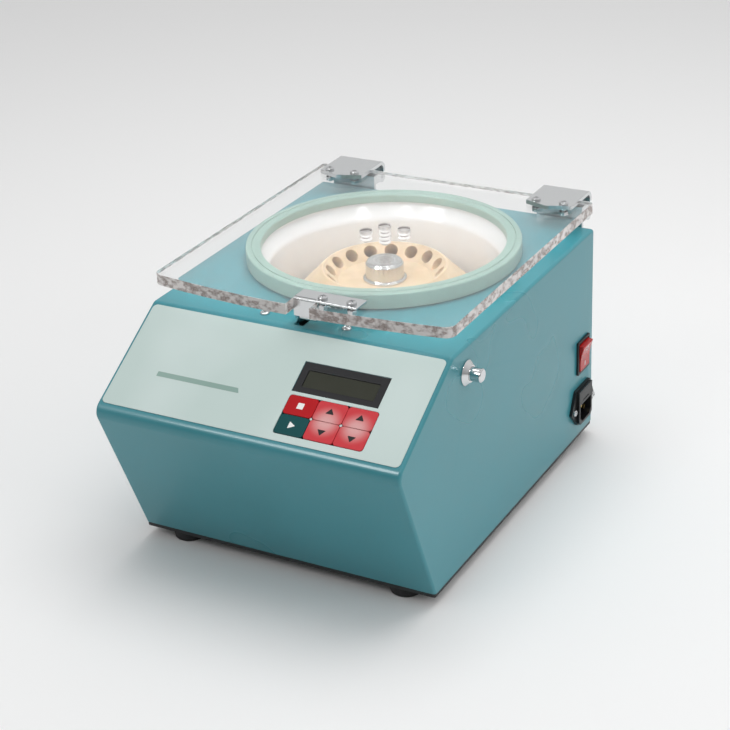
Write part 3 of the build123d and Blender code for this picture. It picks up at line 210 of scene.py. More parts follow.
def box_loop(width: float, height: float, centre: Pair = (0.0, 0.0), radius: float = 0.0,
             steps: int = 6) -> Array:
    """A rectangle with rounded corners, anticlockwise."""
    w, h = width / 2, height / 2
    corners = np.array([(-w, -h), (w, -h), (w, h), (-w, h)]) + centre
    return soften(corners, radius, steps)


def inset(loop: Array, distance: float) -> Array:
    """Moves a closed anticlockwise line inwards: each point by (n1 + n2) / (1 + n1.n2) of its two edges."""
    edge = np.roll(loop, -1, axis=0) - loop
    edge /= np.maximum(np.linalg.norm(edge, axis=1, keepdims=True), 1e-9)
    inward = np.stack([-edge[:, 1], edge[:, 0]], axis=-1)
    last = np.roll(inward, 1, axis=0)
    share = 1.0 + (inward * last).sum(axis=1, keepdims=True)
    return loop + distance * (inward + last) / np.maximum(share, 0.3)


def beside(line: Array, distance: float) -> Array:
    """Moves an open line to its left: each point by the distance along the normal of its own direction."""
    step = np.gradient(line, axis=0)
    step /= np.linalg.norm(step, axis=1, keepdims=True)
    return line + distance * np.stack([-step[:, 1], step[:, 0]], axis=-1)


def inside(points: Array, loop: Array) -> Array:
    """Even-odd test of points against a closed line: counts the edges that a ray to the right crosses."""
    a, b = loop, np.roll(loop, -1, axis=0)
    x, y = points[:, :1], points[:, 1:]
    spans = (a[:, 1] > y) != (b[:, 1] > y)
    slope = (b[:, 0] - a[:, 0]) / np.where(b[:, 1] == a[:, 1], 1e-12, b[:, 1] - a[:, 1])
    return (spans & (x < a[:, 0] + (y - a[:, 1]) * slope)).sum(axis=1) % 2 == 1


@dataclass
class Skin:
    """One piece's mesh, grown from grids and flat fills in millimetres, each with its own finish."""

    name: str
    points: list[Array] = field(default_factory=list)
    faces: list[Array] = field(default_factory=list)
    marks: list[int] = field(default_factory=list)
    count: int = 0

    def grid(self, p: Array, wrap: bool = False, finish: int = 0, flip: bool = False) -> None:
        """Adds a surface of two parameters.

        Args:
            p: Points, (rows, columns, 3). The outside is along columns times rows.
            wrap: Whether the last column joins the first.
            finish: Number of the finish in the piece's list.
            flip: Whether to turn the faces over.
        """
        rows, cols = p.shape[:2]
        i = np.arange(rows * cols).reshape(rows, cols) + self.count
        if wrap:
            i = np.concatenate([i, i[:, :1]], axis=1)
        quads = np.stack([i[:-1, :-1], i[:-1, 1:], i[1:, 1:], i[1:, :-1]], axis=-1).reshape(-1, 4)
        self.points.append(p.reshape(-1, 3))
        self.faces.append(quads[:, ::-1] if flip else quads)
        self.marks.append(finish)
        self.count += rows * cols

    def fill(self, seat: Seat, loops: list[Array], height: float = 0.0, flip: bool = False) -> None:
        """Adds a flat face with holes: the constrained triangles whose middles an odd number of loops enclose.

        Args:
            seat: The seat that the loops are drawn on.
            loops: The outline and any holes.
            height: Distance above the seat.
            flip: Whether the face looks against the seat's normal.
        """
        flat = np.concatenate(loops)
        edges, start = [], 0
        for loop in loops:
            i = np.arange(len(loop)) + start
            edges.append(np.stack([i, np.roll(i, -1)], axis=-1))
            start += len(loop)
        spots = [Vector(v) for v in flat.tolist()]
        found = delaunay_2d_cdt(spots, np.concatenate(edges).tolist(), [], 0, 1e-7)
        flat = np.array([tuple(v) for v in found[0]])
        tris = np.array(found[2], dtype=int)
        middle = flat[tris].mean(axis=1)
        odd = np.sum([inside(middle, loop) for loop in loops], axis=0) % 2 == 1
        tris = tris[odd]
        a, b, c = flat[tris[:, 0]], flat[tris[:, 1]], flat[tris[:, 2]]
        turn = (b[:, 0] - a[:, 0]) * (c[:, 1] - a[:, 1]) - (b[:, 1] - a[:, 1]) * (c[:, 0] - a[:, 0])
        tris = np.where((turn < 0)[:, None], tris[:, ::-1], tris)
        self.points.append(seat.lift(flat, height))
        self.faces.append((tris[:, ::-1] if flip else tris) + self.count)
        self.marks.append(0)
        self.count += len(flat)

    def plate(self, seat: Seat, outline: Array, thickness: float, edge: float = 0.4,
              holes: tuple[Array, ...] = (), base: float = 0.0, steps: int = 4, walls: int = 0, ribs: int = 0,
              top: bool = True, floor: bool = True) -> None:
        """Adds a flat solid with rounded edges: quarter arcs carried round each loop, and two flat faces.

        Args:
            seat: The seat that the outline is drawn on.
            outline: Anticlockwise outline.
            thickness: Height of the solid.
            edge: Radius of its edges.
            holes: Anticlockwise outlines of holes through it.
            base: Height of its underside above the seat.
            steps: Points along each quarter arc.
            walls: Number of the walls' finish; the flat faces have the first one.
            ribs: Extra rows up the wall.
            top: Whether the upper face is filled.
            floor: Whether the underside is filled.
        """
        t = np.linspace(0.0, math.pi / 2, steps)
        low = np.stack([edge * (1 - np.sin(t)), edge * (1 - np.cos(t))], axis=-1)
        high = low[::-1] * (1, -1) + (0, thickness)
        mid = np.stack([np.zeros(ribs), np.linspace(edge, thickness - edge, ribs + 2)[1:-1]], axis=-1)
        rows = np.concatenate([low, mid, high])
        for hole, loop in [(False, outline)] + [(True, h) for h in holes]:
            shapes = [inset(loop, -d if hole else d) for d in rows[:, 0]]
            p = np.stack([seat.lift(s, base + h) for s, h in zip(shapes, rows[:, 1])])
            self.grid(p, wrap=True, finish=walls, flip=hole)
        ends = [inset(outline, edge)] + [inset(h, -edge) for h in holes]
        if top:
            self.fill(seat, ends, base + thickness)
        if floor:
            self.fill(seat, ends, base, flip=True)

    def turned(self, seat: Seat, centre: Pair, profile: Array, count: int = 96, closed: bool = True) -> None:
        """Adds a turned form: profile (radius, height) carried round the seat's normal at centre.

        Args:
            seat: The seat that the form stands on.
            centre: Its axis on the seat.
            profile: Points (radius, height), with the outside on the right going up.
            count: Steps round the axis.
            closed: Whether the profile closes on itself.
        """
        line = np.concatenate([profile, profile[:1]]) if closed else profile
        turn = np.linspace(0.0, 2 * math.pi, count, endpoint=False)
        across = np.stack([np.cos(turn), np.sin(turn)], axis=-1)
        flat = line[:, None, :1] * across[None] + np.array(centre)
        self.grid(seat.lift(flat, np.repeat(line[:, 1:], count, axis=1)), wrap=True)

    def bent(self, points: Array) -> Array:
        """Hook for a piece that bends its points before they are welded; the plain piece leaves them."""
        return points

    def build(self, finishes: list["Finish"], body: str, nodes: tuple[str, ...] = (), slot: str | None = None,
              sharp: float = 32.0) -> bpy.types.Object:
        """Welds the piece, dresses it and hands it to a body.

        Args:
            finishes: Its finishes, in the order of their numbers.
            body: The body that it moves with.
            nodes: The solids that it stands for.
            slot: The record's material slot; not used.
            sharp: Angle above which an edge stays sharp, in degrees.

        Returns:
            The finished object, at the origin.
        """
        p = self.bent(np.concatenate(self.points))
        keys, where = np.unique(np.round(p / 2e-4).astype(np.int64), axis=0, return_inverse=True)
        where = where.reshape(-1)
        welded = np.zeros((len(keys), 3))
        welded[where] = p
        rows, marks = [], []
        for part, mark in zip(self.faces, self.marks):
            f = where[part]
            if f.shape[1] == 4:
                same = f == np.roll(f, -1, axis=1)
                whole = ~same.any(axis=1)
                rows += f[whole].tolist()
                marks += [mark] * int(whole.sum())
                bad, same = f[~whole], same[~whole]
                k = np.argmax(same, axis=1)
                pick = (k[:, None] + np.array([1, 2, 3])) % 4
                f = np.take_along_axis(bad, pick, axis=1)
            keep = (f[:, 0] != f[:, 1]) & (f[:, 1] != f[:, 2]) & (f[:, 2] != f[:, 0])
            rows += f[keep].tolist()
            marks += [mark] * int(keep.sum())
        mesh = bpy.data.meshes.new(self.name)
        mesh.from_pydata((welded * MM).tolist(), [], rows)
        mesh.polygons.foreach_set("material_index", marks)
        mesh.polygons.foreach_set("use_smooth", [True] * len(rows))
        mesh.validate()
        mesh.set_sharp_from_angle(angle=math.radians(sharp))
        for finish in finishes:
            mesh.materials.append(finish.material())
        piece = bpy.data.objects.new(self.name, mesh)
        bpy.context.scene.collection.objects.link(piece)
        even = piece.modifiers.new("even_shading", "WEIGHTED_NORMAL")
        even.keep_sharp = True
        even.weight = 100
        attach(piece, body)
        if nodes:
            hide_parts(*nodes)
        return piece


def linear(colour: str) -> tuple[float, float, float, float]:
    """Turns an sRGB hex colour to linear light."""
    part = np.array([int(colour[i:i + 2], 16) for i in (1, 3, 5)]) / 255.0
    part = np.where(part <= 0.04045, part / 12.92, ((part + 0.055) / 1.055) ** 2.4)
    return (float(part[0]), float(part[1]), float(part[2]), 1.0)


def add_node(tree: Tree, kind: str, settings: dict[str, object] | None = None,
             inputs: dict[str | int, object] | None = None) -> Node:
    """Adds a node with its settings and links.

    Args:
        tree: The material's node tree.
        kind: The node's type.
        settings: Its properties.
        inputs: Its inputs by name or number; a socket is linked and anything else is set.

    Returns:
        The node.
    """
    node = tree.nodes.new(kind)
    for key, value in (settings or {}).items():
        setattr(node, key, value)
    for key, value in (inputs or {}).items():
        if isinstance(value, Socket):
            tree.links.new(value, node.inputs[key])
        else:
            node.inputs[key].default_value = value
    return node


def add_noise(tree: Tree, place: Socket, scale: float, detail: float = 2.0) -> Socket:
    """Adds noise of that scale, in cells per metre, and gives its height."""
    inputs = {"Vector": place, "Scale": scale, "Detail": detail}
    return add_node(tree, "ShaderNodeTexNoise", {}, inputs).outputs[0]


def add_rings(tree: Tree, place: Socket, centre: Pair, pitch_mm: float,
              detail: float) -> tuple[Socket, Socket]:
    """Adds noise that reads only the distance from an upright axis.

    Args:
        tree: The material's node tree.
        place: Object coordinates.
        centre: The axis, in millimetres.
        pitch_mm: How far apart the rings are.
        detail: Detail of the noise.

    Returns:
        The noise's height, and the way out from the axis.
    """
    shift = add_node(tree, "ShaderNodeMapping", {}, {
        "Vector": place, "Location": (-centre[0] * MM, -centre[1] * MM, 0.0), "Scale": (1.0, 1.0, 0.0)})
    reach = add_node(tree, "ShaderNodeVectorMath", {"operation": "LENGTH"}, {0: shift.outputs[0]})
    rings = add_node(tree, "ShaderNodeTexNoise", {"noise_dimensions": "1D"}, {
        "W": reach.outputs["Value"], "Scale": 1 / (pitch_mm * MM), "Detail": detail})
    return rings.outputs[0], shift.outputs[0]


@dataclass(frozen=True)
class Finish:
    """A finish that starts from one principled shader; the kinds below add its detail."""

    name: str
    colour: str
    roughness: float = 0.5
    metallic: float = 0.0
    coat: float = 0.0

    def material(self) -> bpy.types.Material:
        """The finish's material, made once."""
        made = bpy.data.materials.get(self.name)
        if made is not None:
            return made
        made = bpy.data.materials.new(self.name)
        made.use_nodes = True
        tree = made.node_tree
        tree.nodes.clear()
        shader = add_node(tree, "ShaderNodeBsdfPrincipled", {}, {
            "Base Color": linear(self.colour), "Roughness": self.roughness, "Metallic": self.metallic,
            "Coat Weight": self.coat, "Coat Roughness": 0.08})
        add_node(tree, "ShaderNodeOutputMaterial", {}, {"Surface": shader.outputs[0]})
        place = add_node(tree, "ShaderNodeTexCoord").outputs["Object"]
        self.detail(tree, shader, place)
        made.diffuse_color = linear(self.colour)
        return made

    def detail(self, tree: Tree, shader: Node, place: Socket) -> None:
        """Adds what the finish shows close up."""

    def relief(self, tree: Tree, shader: Node, height: Socket, depth_mm: float,
               strength: float = 1.0) -> None:
        """Links a height to the shader's normal as a bump of that depth."""
        bump = add_node(tree, "ShaderNodeBump", {}, {
            "Height": height, "Distance": depth_mm * MM, "Strength": strength})
        tree.links.new(bump.outputs[0], shader.inputs["Normal"])

    def vary(self, tree: Tree, shader: Node, amount: Socket, other: str, low: float = 0.35,
             high: float = 0.65) -> None:
        """Blends the base colour to another one as a texture goes from low to high."""
        ramp = add_node(tree, "ShaderNodeMapRange", {}, {"Value": amount, "From Min": low, "From Max": high})
        mix = add_node(tree, "ShaderNodeMix", {"data_type": "RGBA"}, {
            "Factor": ramp.outputs[0], 6: linear(self.colour), 7: linear(other)})
        tree.links.new(mix.outputs[2], shader.inputs["Base Color"])

    def wear(self, tree: Tree, shader: Node, amount: Socket, low: float, high: float) -> None:
        """Runs the roughness from low to high with a texture."""
        ramp = add_node(tree, "ShaderNodeMapRange", {}, {
            "Value": amount, "From Min": 0.3, "From Max": 0.7, "To Min": low, "To Max": high})
        tree.links.new(ramp.outputs[0], shader.inputs["Roughness"])


@dataclass(frozen=True)
class PowderPaint(Finish):
    """Baked powder paint: an even coat with the faint orange peel that it flows to, a little glossy."""

    other: str = "#6CA6AE"
    peel_mm: float = 2.4

    def detail(self, tree: Tree, shader: Node, place: Socket) -> None:
        """Adds orange peel of about 2.4 mm and a broad, slight change of tone."""
        tone = add_noise(tree, place, 9.0)
        self.relief(tree, shader, add_noise(tree, place, 1 / (self.peel_mm * MM), 1.0), 0.02, 0.25)
        self.vary(tree, shader, tone, self.other)
        self.wear(tree, shader, tone, self.roughness * 0.85, self.roughness * 1.2)


class Grain(Enum):
    """The way that a metal's brushing runs."""

    ALONG_X = (1.0, 14.0, 14.0)
    ALONG_Z = (14.0, 14.0, 1.0)
    NONE = (1.0, 1.0, 1.0)


@dataclass(frozen=True)
class BrushedSteel(Finish):
    """Stainless or plated steel with the fine scratches of its grinding, in one direction."""

    grain: Grain = Grain.ALONG_X
    pitch_mm: float = 6.0

    def detail(self, tree: Tree, shader: Node, place: Socket) -> None:
        """Adds scratches: noise drawn out along the brushing, a fourteenth of its pitch apart across it."""
        stretch = add_node(tree, "ShaderNodeMapping", {}, {"Vector": place, "Scale": self.grain.value})
        lines = add_noise(tree, stretch.outputs[0], 1 / (self.pitch_mm * MM), 4.0)
        self.relief(tree, shader, lines, 0.02, 0.35)
        self.wear(tree, shader, lines, self.roughness * 0.7, self.roughness * 1.35)


@dataclass(frozen=True)
class TurnedMetal(Finish):
    """Metal faced on a lathe: rings about its axis that draw the light out."""

    centre: Pair = (0.0, 0.0)
    pitch_mm: float = 0.6
    depth_mm: float = 0.006

    def detail(self, tree: Tree, shader: Node, place: Socket) -> None:
        """Adds rings, and draws the highlight out across them."""
        rings, away = add_rings(tree, place, self.centre, self.pitch_mm, 3.0)
        shader.inputs["Anisotropic"].default_value = 0.8
        shader.inputs["Anisotropic Rotation"].default_value = 0.25
        upright = (0.0, 0.0, 1.0)
        spin = add_node(tree, "ShaderNodeVectorMath", {"operation": "CROSS_PRODUCT"}, {0: upright, 1: away})
        along = add_node(tree, "ShaderNodeVectorMath", {"operation": "NORMALIZE"}, {0: spin.outputs[0]})
        tree.links.new(along.outputs[0], shader.inputs["Tangent"])
        self.relief(tree, shader, rings, self.depth_mm, 0.6)
        self.wear(tree, shader, rings, self.roughness * 0.75, self.roughness * 1.25)


@dataclass(frozen=True)
class Acrylic(Finish):
    """Cast acrylic sheet: clear, with the index of PMMA; cut edges keep the saw's marks and scatter light.

    Shadow rays pass through it. Its cut edges and drilled walls glow faintly: a painted glow, emission that stands
    for the light that the sheet leads to them.
    """

    mark_mm: float = 0.0
    depth_mm: float = 0.0
    stretch: Triple = (1.0, 1.0, 1.0)
    clear: float = 1.0
    other: str = "#A39A96"
    shade_band_mm: float = 0.0
    painted_glow: float = 0.0

    def detail(self, tree: Tree, shader: Node, place: Socket) -> None:
        """Makes the shader clear, with its painted glow; a cut edge gets the cutter's marks, and a drilled one
        also darker bands up its wall, painted shade of its ridges.
        """
        shader.inputs["Transmission Weight"].default_value = self.clear
        shader.inputs["IOR"].default_value = 1.49
        # Painted glow: the finish emits its own colour, standing for light that the sheet leads to its edges and
        # holes.
        shader.inputs["Emission Color"].default_value = linear(self.colour)
        shader.inputs["Emission Strength"].default_value = self.painted_glow
        shadow = add_node(tree, "ShaderNodeLightPath").outputs["Is Shadow Ray"]
        open_way = add_node(tree, "ShaderNodeBsdfTransparent", {}, {"Color": linear("#FAFAFA")})
        blend = add_node(tree, "ShaderNodeMixShader", {}, {
            0: shadow, 1: shader.outputs[0], 2: open_way.outputs[0]})
        out = next(node for node in tree.nodes if node.bl_idname == "ShaderNodeOutputMaterial")
        tree.links.new(blend.outputs[0], out.inputs["Surface"])
        if self.mark_mm:
            drawn = add_node(tree, "ShaderNodeMapping", {}, {"Vector": place, "Scale": self.stretch})
            marks = add_noise(tree, drawn.outputs[0], 1 / (self.mark_mm * MM), 3.0)
            self.relief(tree, shader, marks, self.depth_mm)
            self.wear(tree, shader, marks, self.roughness * 0.4, self.roughness * 1.6)
            # Painted shade: bands of this pitch up the wall darken the colour, standing for the shade between the
            # drill's ridges.
            if self.shade_band_mm:
                scale = math.pi / 10 / (self.shade_band_mm * MM)
                marks = add_node(tree, "ShaderNodeTexWave", {"bands_direction": "Z"}, {
                    "Vector": place, "Scale": scale, "Distortion": 0.6}).outputs[0]
            self.vary(tree, shader, marks, self.other, 0.42, 0.62)


@dataclass(frozen=True)
class SealRubber(Finish):
    """Moulded silicone or foam rubber: soft sheen, faint skin texture."""

    other: str = "#9FBFB2"
    skin_mm: float = 0.9

    def detail(self, tree: Tree, shader: Node, place: Socket) -> None:
        """Adds a faint skin and a broad change of tone."""
        shader.inputs["Subsurface Weight"].default_value = 0.12
        shader.inputs["Subsurface Radius"].default_value = (0.002, 0.002, 0.002)
        self.relief(tree, shader, add_noise(tree, place, 1 / (self.skin_mm * MM)), 0.03, 0.4)
        self.vary(tree, shader, add_noise(tree, place, 22.0), self.other)


@dataclass(frozen=True)
class MachinedNylon(Finish):
    """Cast nylon turned on a lathe: creamy, slightly deep, with fine rings and faint clouds."""

    centre: Pair = (0.0, 0.0)
    other: str = "#D2B997"
    pitch_mm: float = 0.5

    def detail(self, tree: Tree, shader: Node, place: Socket) -> None:
        """Adds turned rings and clouds of about 12 mm."""
        shader.inputs["Subsurface Weight"].default_value = 0.6
        shader.inputs["Subsurface Radius"].default_value = (0.012, 0.008, 0.005)
        self.relief(tree, shader, add_rings(tree, place, self.centre, self.pitch_mm, 2.0)[0], 0.02, 0.3)
        self.vary(tree, shader, add_noise(tree, place, 80.0, 3.0), self.other)


@dataclass(frozen=True)
class Moulded(Finish):
    """Injection moulded plastic or vulcanised rubber with the fine spark texture of its tool."""

    spark_mm: float = 0.5
    depth_mm: float = 0.02

    def detail(self, tree: Tree, shader: Node, place: Socket) -> None:
        """Adds the tool's texture."""
        spark = add_noise(tree, place, 1 / (self.spark_mm * MM))
        self.relief(tree, shader, spark, self.depth_mm, 0.5)
        self.wear(tree, shader, spark, self.roughness * 0.85, self.roughness * 1.15)


@dataclass(frozen=True)
class TintedPlastic(Finish):
    """Tinted see-through polycarbonate, as on a lit rocker: colour in its depth, gloss on top."""

    def detail(self, tree: Tree, shader: Node, place: Socket) -> None:
        """Adds some see-through depth and a very fine moulding texture."""
        shader.inputs["Transmission Weight"].default_value = 0.25
        self.relief(tree, shader, add_noise(tree, place, 900.0, 1.0), 0.01, 0.3)


@dataclass(frozen=True)
class PrintedFilm(Finish):
    """Polyester film printed on the back: flat colour, fine embossed grain and a slightly hazy gloss."""

    other: str = "#D4E2DE"
    blush: Triple | None = None
    reach_mm: float = 9.0

    def detail(self, tree: Tree, shader: Node, place: Socket) -> None:
        """Adds the film's grain, and its second colour as broad clouds or as a blush about a point."""
        self.relief(tree, shader, add_noise(tree, place, 1400.0), 0.012, 0.5)
        shader.inputs["Specular IOR Level"].default_value = 0.2
        if self.blush is None:
            self.vary(tree, shader, add_noise(tree, place, 14.0, 1.0), self.other)
            return
        shift = add_node(tree, "ShaderNodeVectorMath", {"operation": "DISTANCE"}, {
            0: place, 1: tuple(c * MM for c in self.blush)})
        near = add_node(tree, "ShaderNodeMapRange", {"interpolation_type": "SMOOTHSTEP"}, {
            "Value": shift.outputs["Value"], "From Min": self.reach_mm * MM, "From Max": 2.0 * MM})
        self.vary(tree, shader, near.outputs[0], self.other, 0.0, 1.0)


@dataclass(frozen=True)
class Laminate(Finish):
    """Glass-epoxy board under green solder mask, with the grid of its tracks just visible."""

    other: str = "#1C5A34"

    def detail(self, tree: Tree, shader: Node, place: Socket) -> None:
        """Adds tracks as the cell edges of a 5 mm pattern."""
        tracks = add_node(tree, "ShaderNodeTexVoronoi", {"distance": "MANHATTAN", "feature": "F1"}, {
            "Vector": place, "Scale": 200.0})
        self.vary(tree, shader, tracks.outputs["Distance"], self.other, 0.4, 0.5)
        self.relief(tree, shader, tracks.outputs["Distance"], 0.02, 0.3)


TEAL_PAINT = PowderPaint("powder_paint_teal", "#36858F", 0.3, coat=0.2, other="#3B8A95")
BLACK_PAINT = PowderPaint("powder_paint_black", "#1A1B1D", 0.45, other="#202123")
FOOT_RUBBER = Moulded("vulcanised_rubber", "#141416", 0.62, spark_mm=0.8)
BUSH_RUBBER = Moulded("natural_rubber", "#1D1C1C", 0.7, spark_mm=0.8)
ZINC_SCREW = BrushedSteel("zinc_plated_screw", "#D2D3D4", 0.2, 1.0, grain=Grain.NONE, pitch_mm=0.9)
STAINLESS = BrushedSteel("stainless_sheet", "#D9DBDC", 0.2, 1.0, grain=Grain.ALONG_X)
GROUND_STEEL = BrushedSteel("ground_steel_rod", "#B9BBBD", 0.22, 1.0, grain=Grain.NONE, pitch_mm=1.0)
CLEAR_FACE = Acrylic("acrylic_sheet", "#FDFEFE", 0.0)
# The cut edge and the drilled hole glow faintly: painted glow, not a lamp.
CLEAR_EDGE = Acrylic("acrylic_cut_edge", "#F0EBE9", 0.2, mark_mm=6.0, depth_mm=0.25,
                     stretch=(1.0, 1.0, 1.6), clear=0.3, other="#978984", painted_glow=0.03)
# The drilled hole's darker bands, 3.4 mm apart, are painted shade of its ridges.
CLEAR_HOLE = Acrylic("acrylic_drilled_hole", "#FBFAFA", 0.06, mark_mm=1.6, depth_mm=0.05,
                     stretch=(0.6, 0.6, 2.0), clear=0.45, other="#A8A29F", shade_band_mm=3.4, painted_glow=0.09)
SEAL = SealRubber("silicone_seal", "#8DAAA0", 0.36, other="#86A399")
BOWL_ENAMEL = Moulded("bowl_white_enamel", "#E6E6E8", 0.16, coat=0.4, spark_mm=5.0, depth_mm=0.012)
ROTOR_NYLON = MachinedNylon("cast_nylon", "#DCC4A6", 0.5, centre=D.chamber)
KNOB_ALUMINIUM = TurnedMetal("turned_aluminium", "#DCDCDC", 0.24, 1.0, centre=D.chamber)
BUTTON_CHROME = BrushedSteel("polished_chrome", "#DADBDC", 0.1, 1.0, grain=Grain.NONE, pitch_mm=2.0)
LABEL_FILM = PrintedFilm("polyester_label", "#C2D3CF", 0.45, other="#CBDAD7")
LABEL_STRIPE = PrintedFilm("polyester_label_stripe", "#8CA79F", 0.42, other="#93ADA5")
FRAME_BLACK = Moulded("display_frame_black", "#07080E", 0.5, spark_mm=0.5, depth_mm=0.004)
LENS = Moulded("smoked_acrylic_lens", "#1F220F", 0.4, spark_mm=8.0, depth_mm=0.002)
BLACK_PLASTIC = Moulded("black_polyamide", "#131416", 0.38)
DARK_INK = Moulded("black_ink", "#060607", 0.5, spark_mm=0.4, depth_mm=0.005)
WHITE_INK = Moulded("white_ink", "#EEF0EE", 0.45, spark_mm=0.4, depth_mm=0.005)
RED_ROCKER = TintedPlastic("red_polycarbonate", "#C8201E", 0.18)
BRASS = BrushedSteel("turned_brass", "#C8AE62", 0.28, 1.0, grain=Grain.NONE, pitch_mm=1.2)
FUSE_GLASS = Acrylic("fuse_tube_glass", "#F0F3F2", 0.02)
CAST_ALUMINIUM = Moulded("cast_aluminium", "#A5A7A9", 0.45, 1.0, spark_mm=1.2)
LAMINATIONS = BrushedSteel("stacked_laminations", "#55565A", 0.5, 1.0, grain=Grain.ALONG_X, pitch_mm=9.0)
BLACK_ANODISED = BrushedSteel("black_anodised", "#1B1C1F", 0.4, 0.7, grain=Grain.ALONG_Z)
GREEN_BOARD = Laminate("circuit_board", "#144A2A", 0.3)


@dataclass(frozen=True)
class PanScrew:
    """A pan-head screw with a cross recess."""

    head: float = 3.9
    height: float = 2.4
    shank: float = 2.0
    length: float = 10.0

    def add(self, skin: Skin, seat: Seat, place: Pair, turn: float) -> None:
        """Adds one screw to a skin.

        The head's height is h (1 - 0.38 (r / R)^3), less a cross whose arms fall off as smooth steps with the
        distance from its two middle lines.

        Args:
            skin: The skin that it joins.
            seat: The seat under its head.
            place: Its axis on the seat.
            turn: How far its cross is turned, in radians.
        """
        drop = 0.38
        turns = np.linspace(0.0, 2 * math.pi, 64, endpoint=False)
        reach = np.concatenate([[1.0, 1.0, 0.985, 0.95, 0.9], np.linspace(0.84, 0.0, 16)]) * self.head
        x = reach[:, None] * np.cos(turns)
        y = reach[:, None] * np.sin(turns)
        dome = self.height * (1 - drop * (reach / self.head) ** 3.0)[:, None] * np.ones_like(x)
        dome[0], dome[1], dome[2] = 0.0, drop * self.height, 0.52 * self.height
        u = np.abs(x * math.cos(turn) + y * math.sin(turn)) / self.head
        v = np.abs(-x * math.sin(turn) + y * math.cos(turn)) / self.head
        arm = np.maximum(*(np.clip((0.17 - a) / 0.06, 0, 1) * np.clip((0.62 - b) / 0.1, 0, 1)
                           for a, b in ((u, v), (v, u))))
        dome -= 0.55 * self.height * arm * (reach < 0.9 * self.head)[:, None]
        skin.grid(seat.lift(np.stack([x, y], axis=-1) + np.array(place), dome), wrap=True)
        low, r = -self.length, self.shank
        under = np.array([(0.0, low), (r - 0.5, low), (r, low + 0.5), (r, 0.0), (self.head, 0.0)])
        skin.turned(seat, place, under, 64, closed=False)

    def row(self, skin: Skin, seat: Seat, places: list[Pair], turn: float, step: float) -> None:
        """Adds a screw at each place, the cross of each turned a step further than the last one's."""
        for k, place in enumerate(places):
            self.add(skin, seat, place, turn + step * k)


def add_nut(skin: Skin, seat: Seat, place: Pair, flats: float = 7.0, height: float = 3.2,
            bore: float = 2.0) -> None:
    """Adds a hexagon nut whose top face lies on the seat."""
    six = ring(flats / 2 / math.cos(math.pi / 6), 6, place)
    skin.plate(seat, soften(six, 0.4, 3), height, 0.35, (ring(bore, 32, place),), base=-height, steps=3)


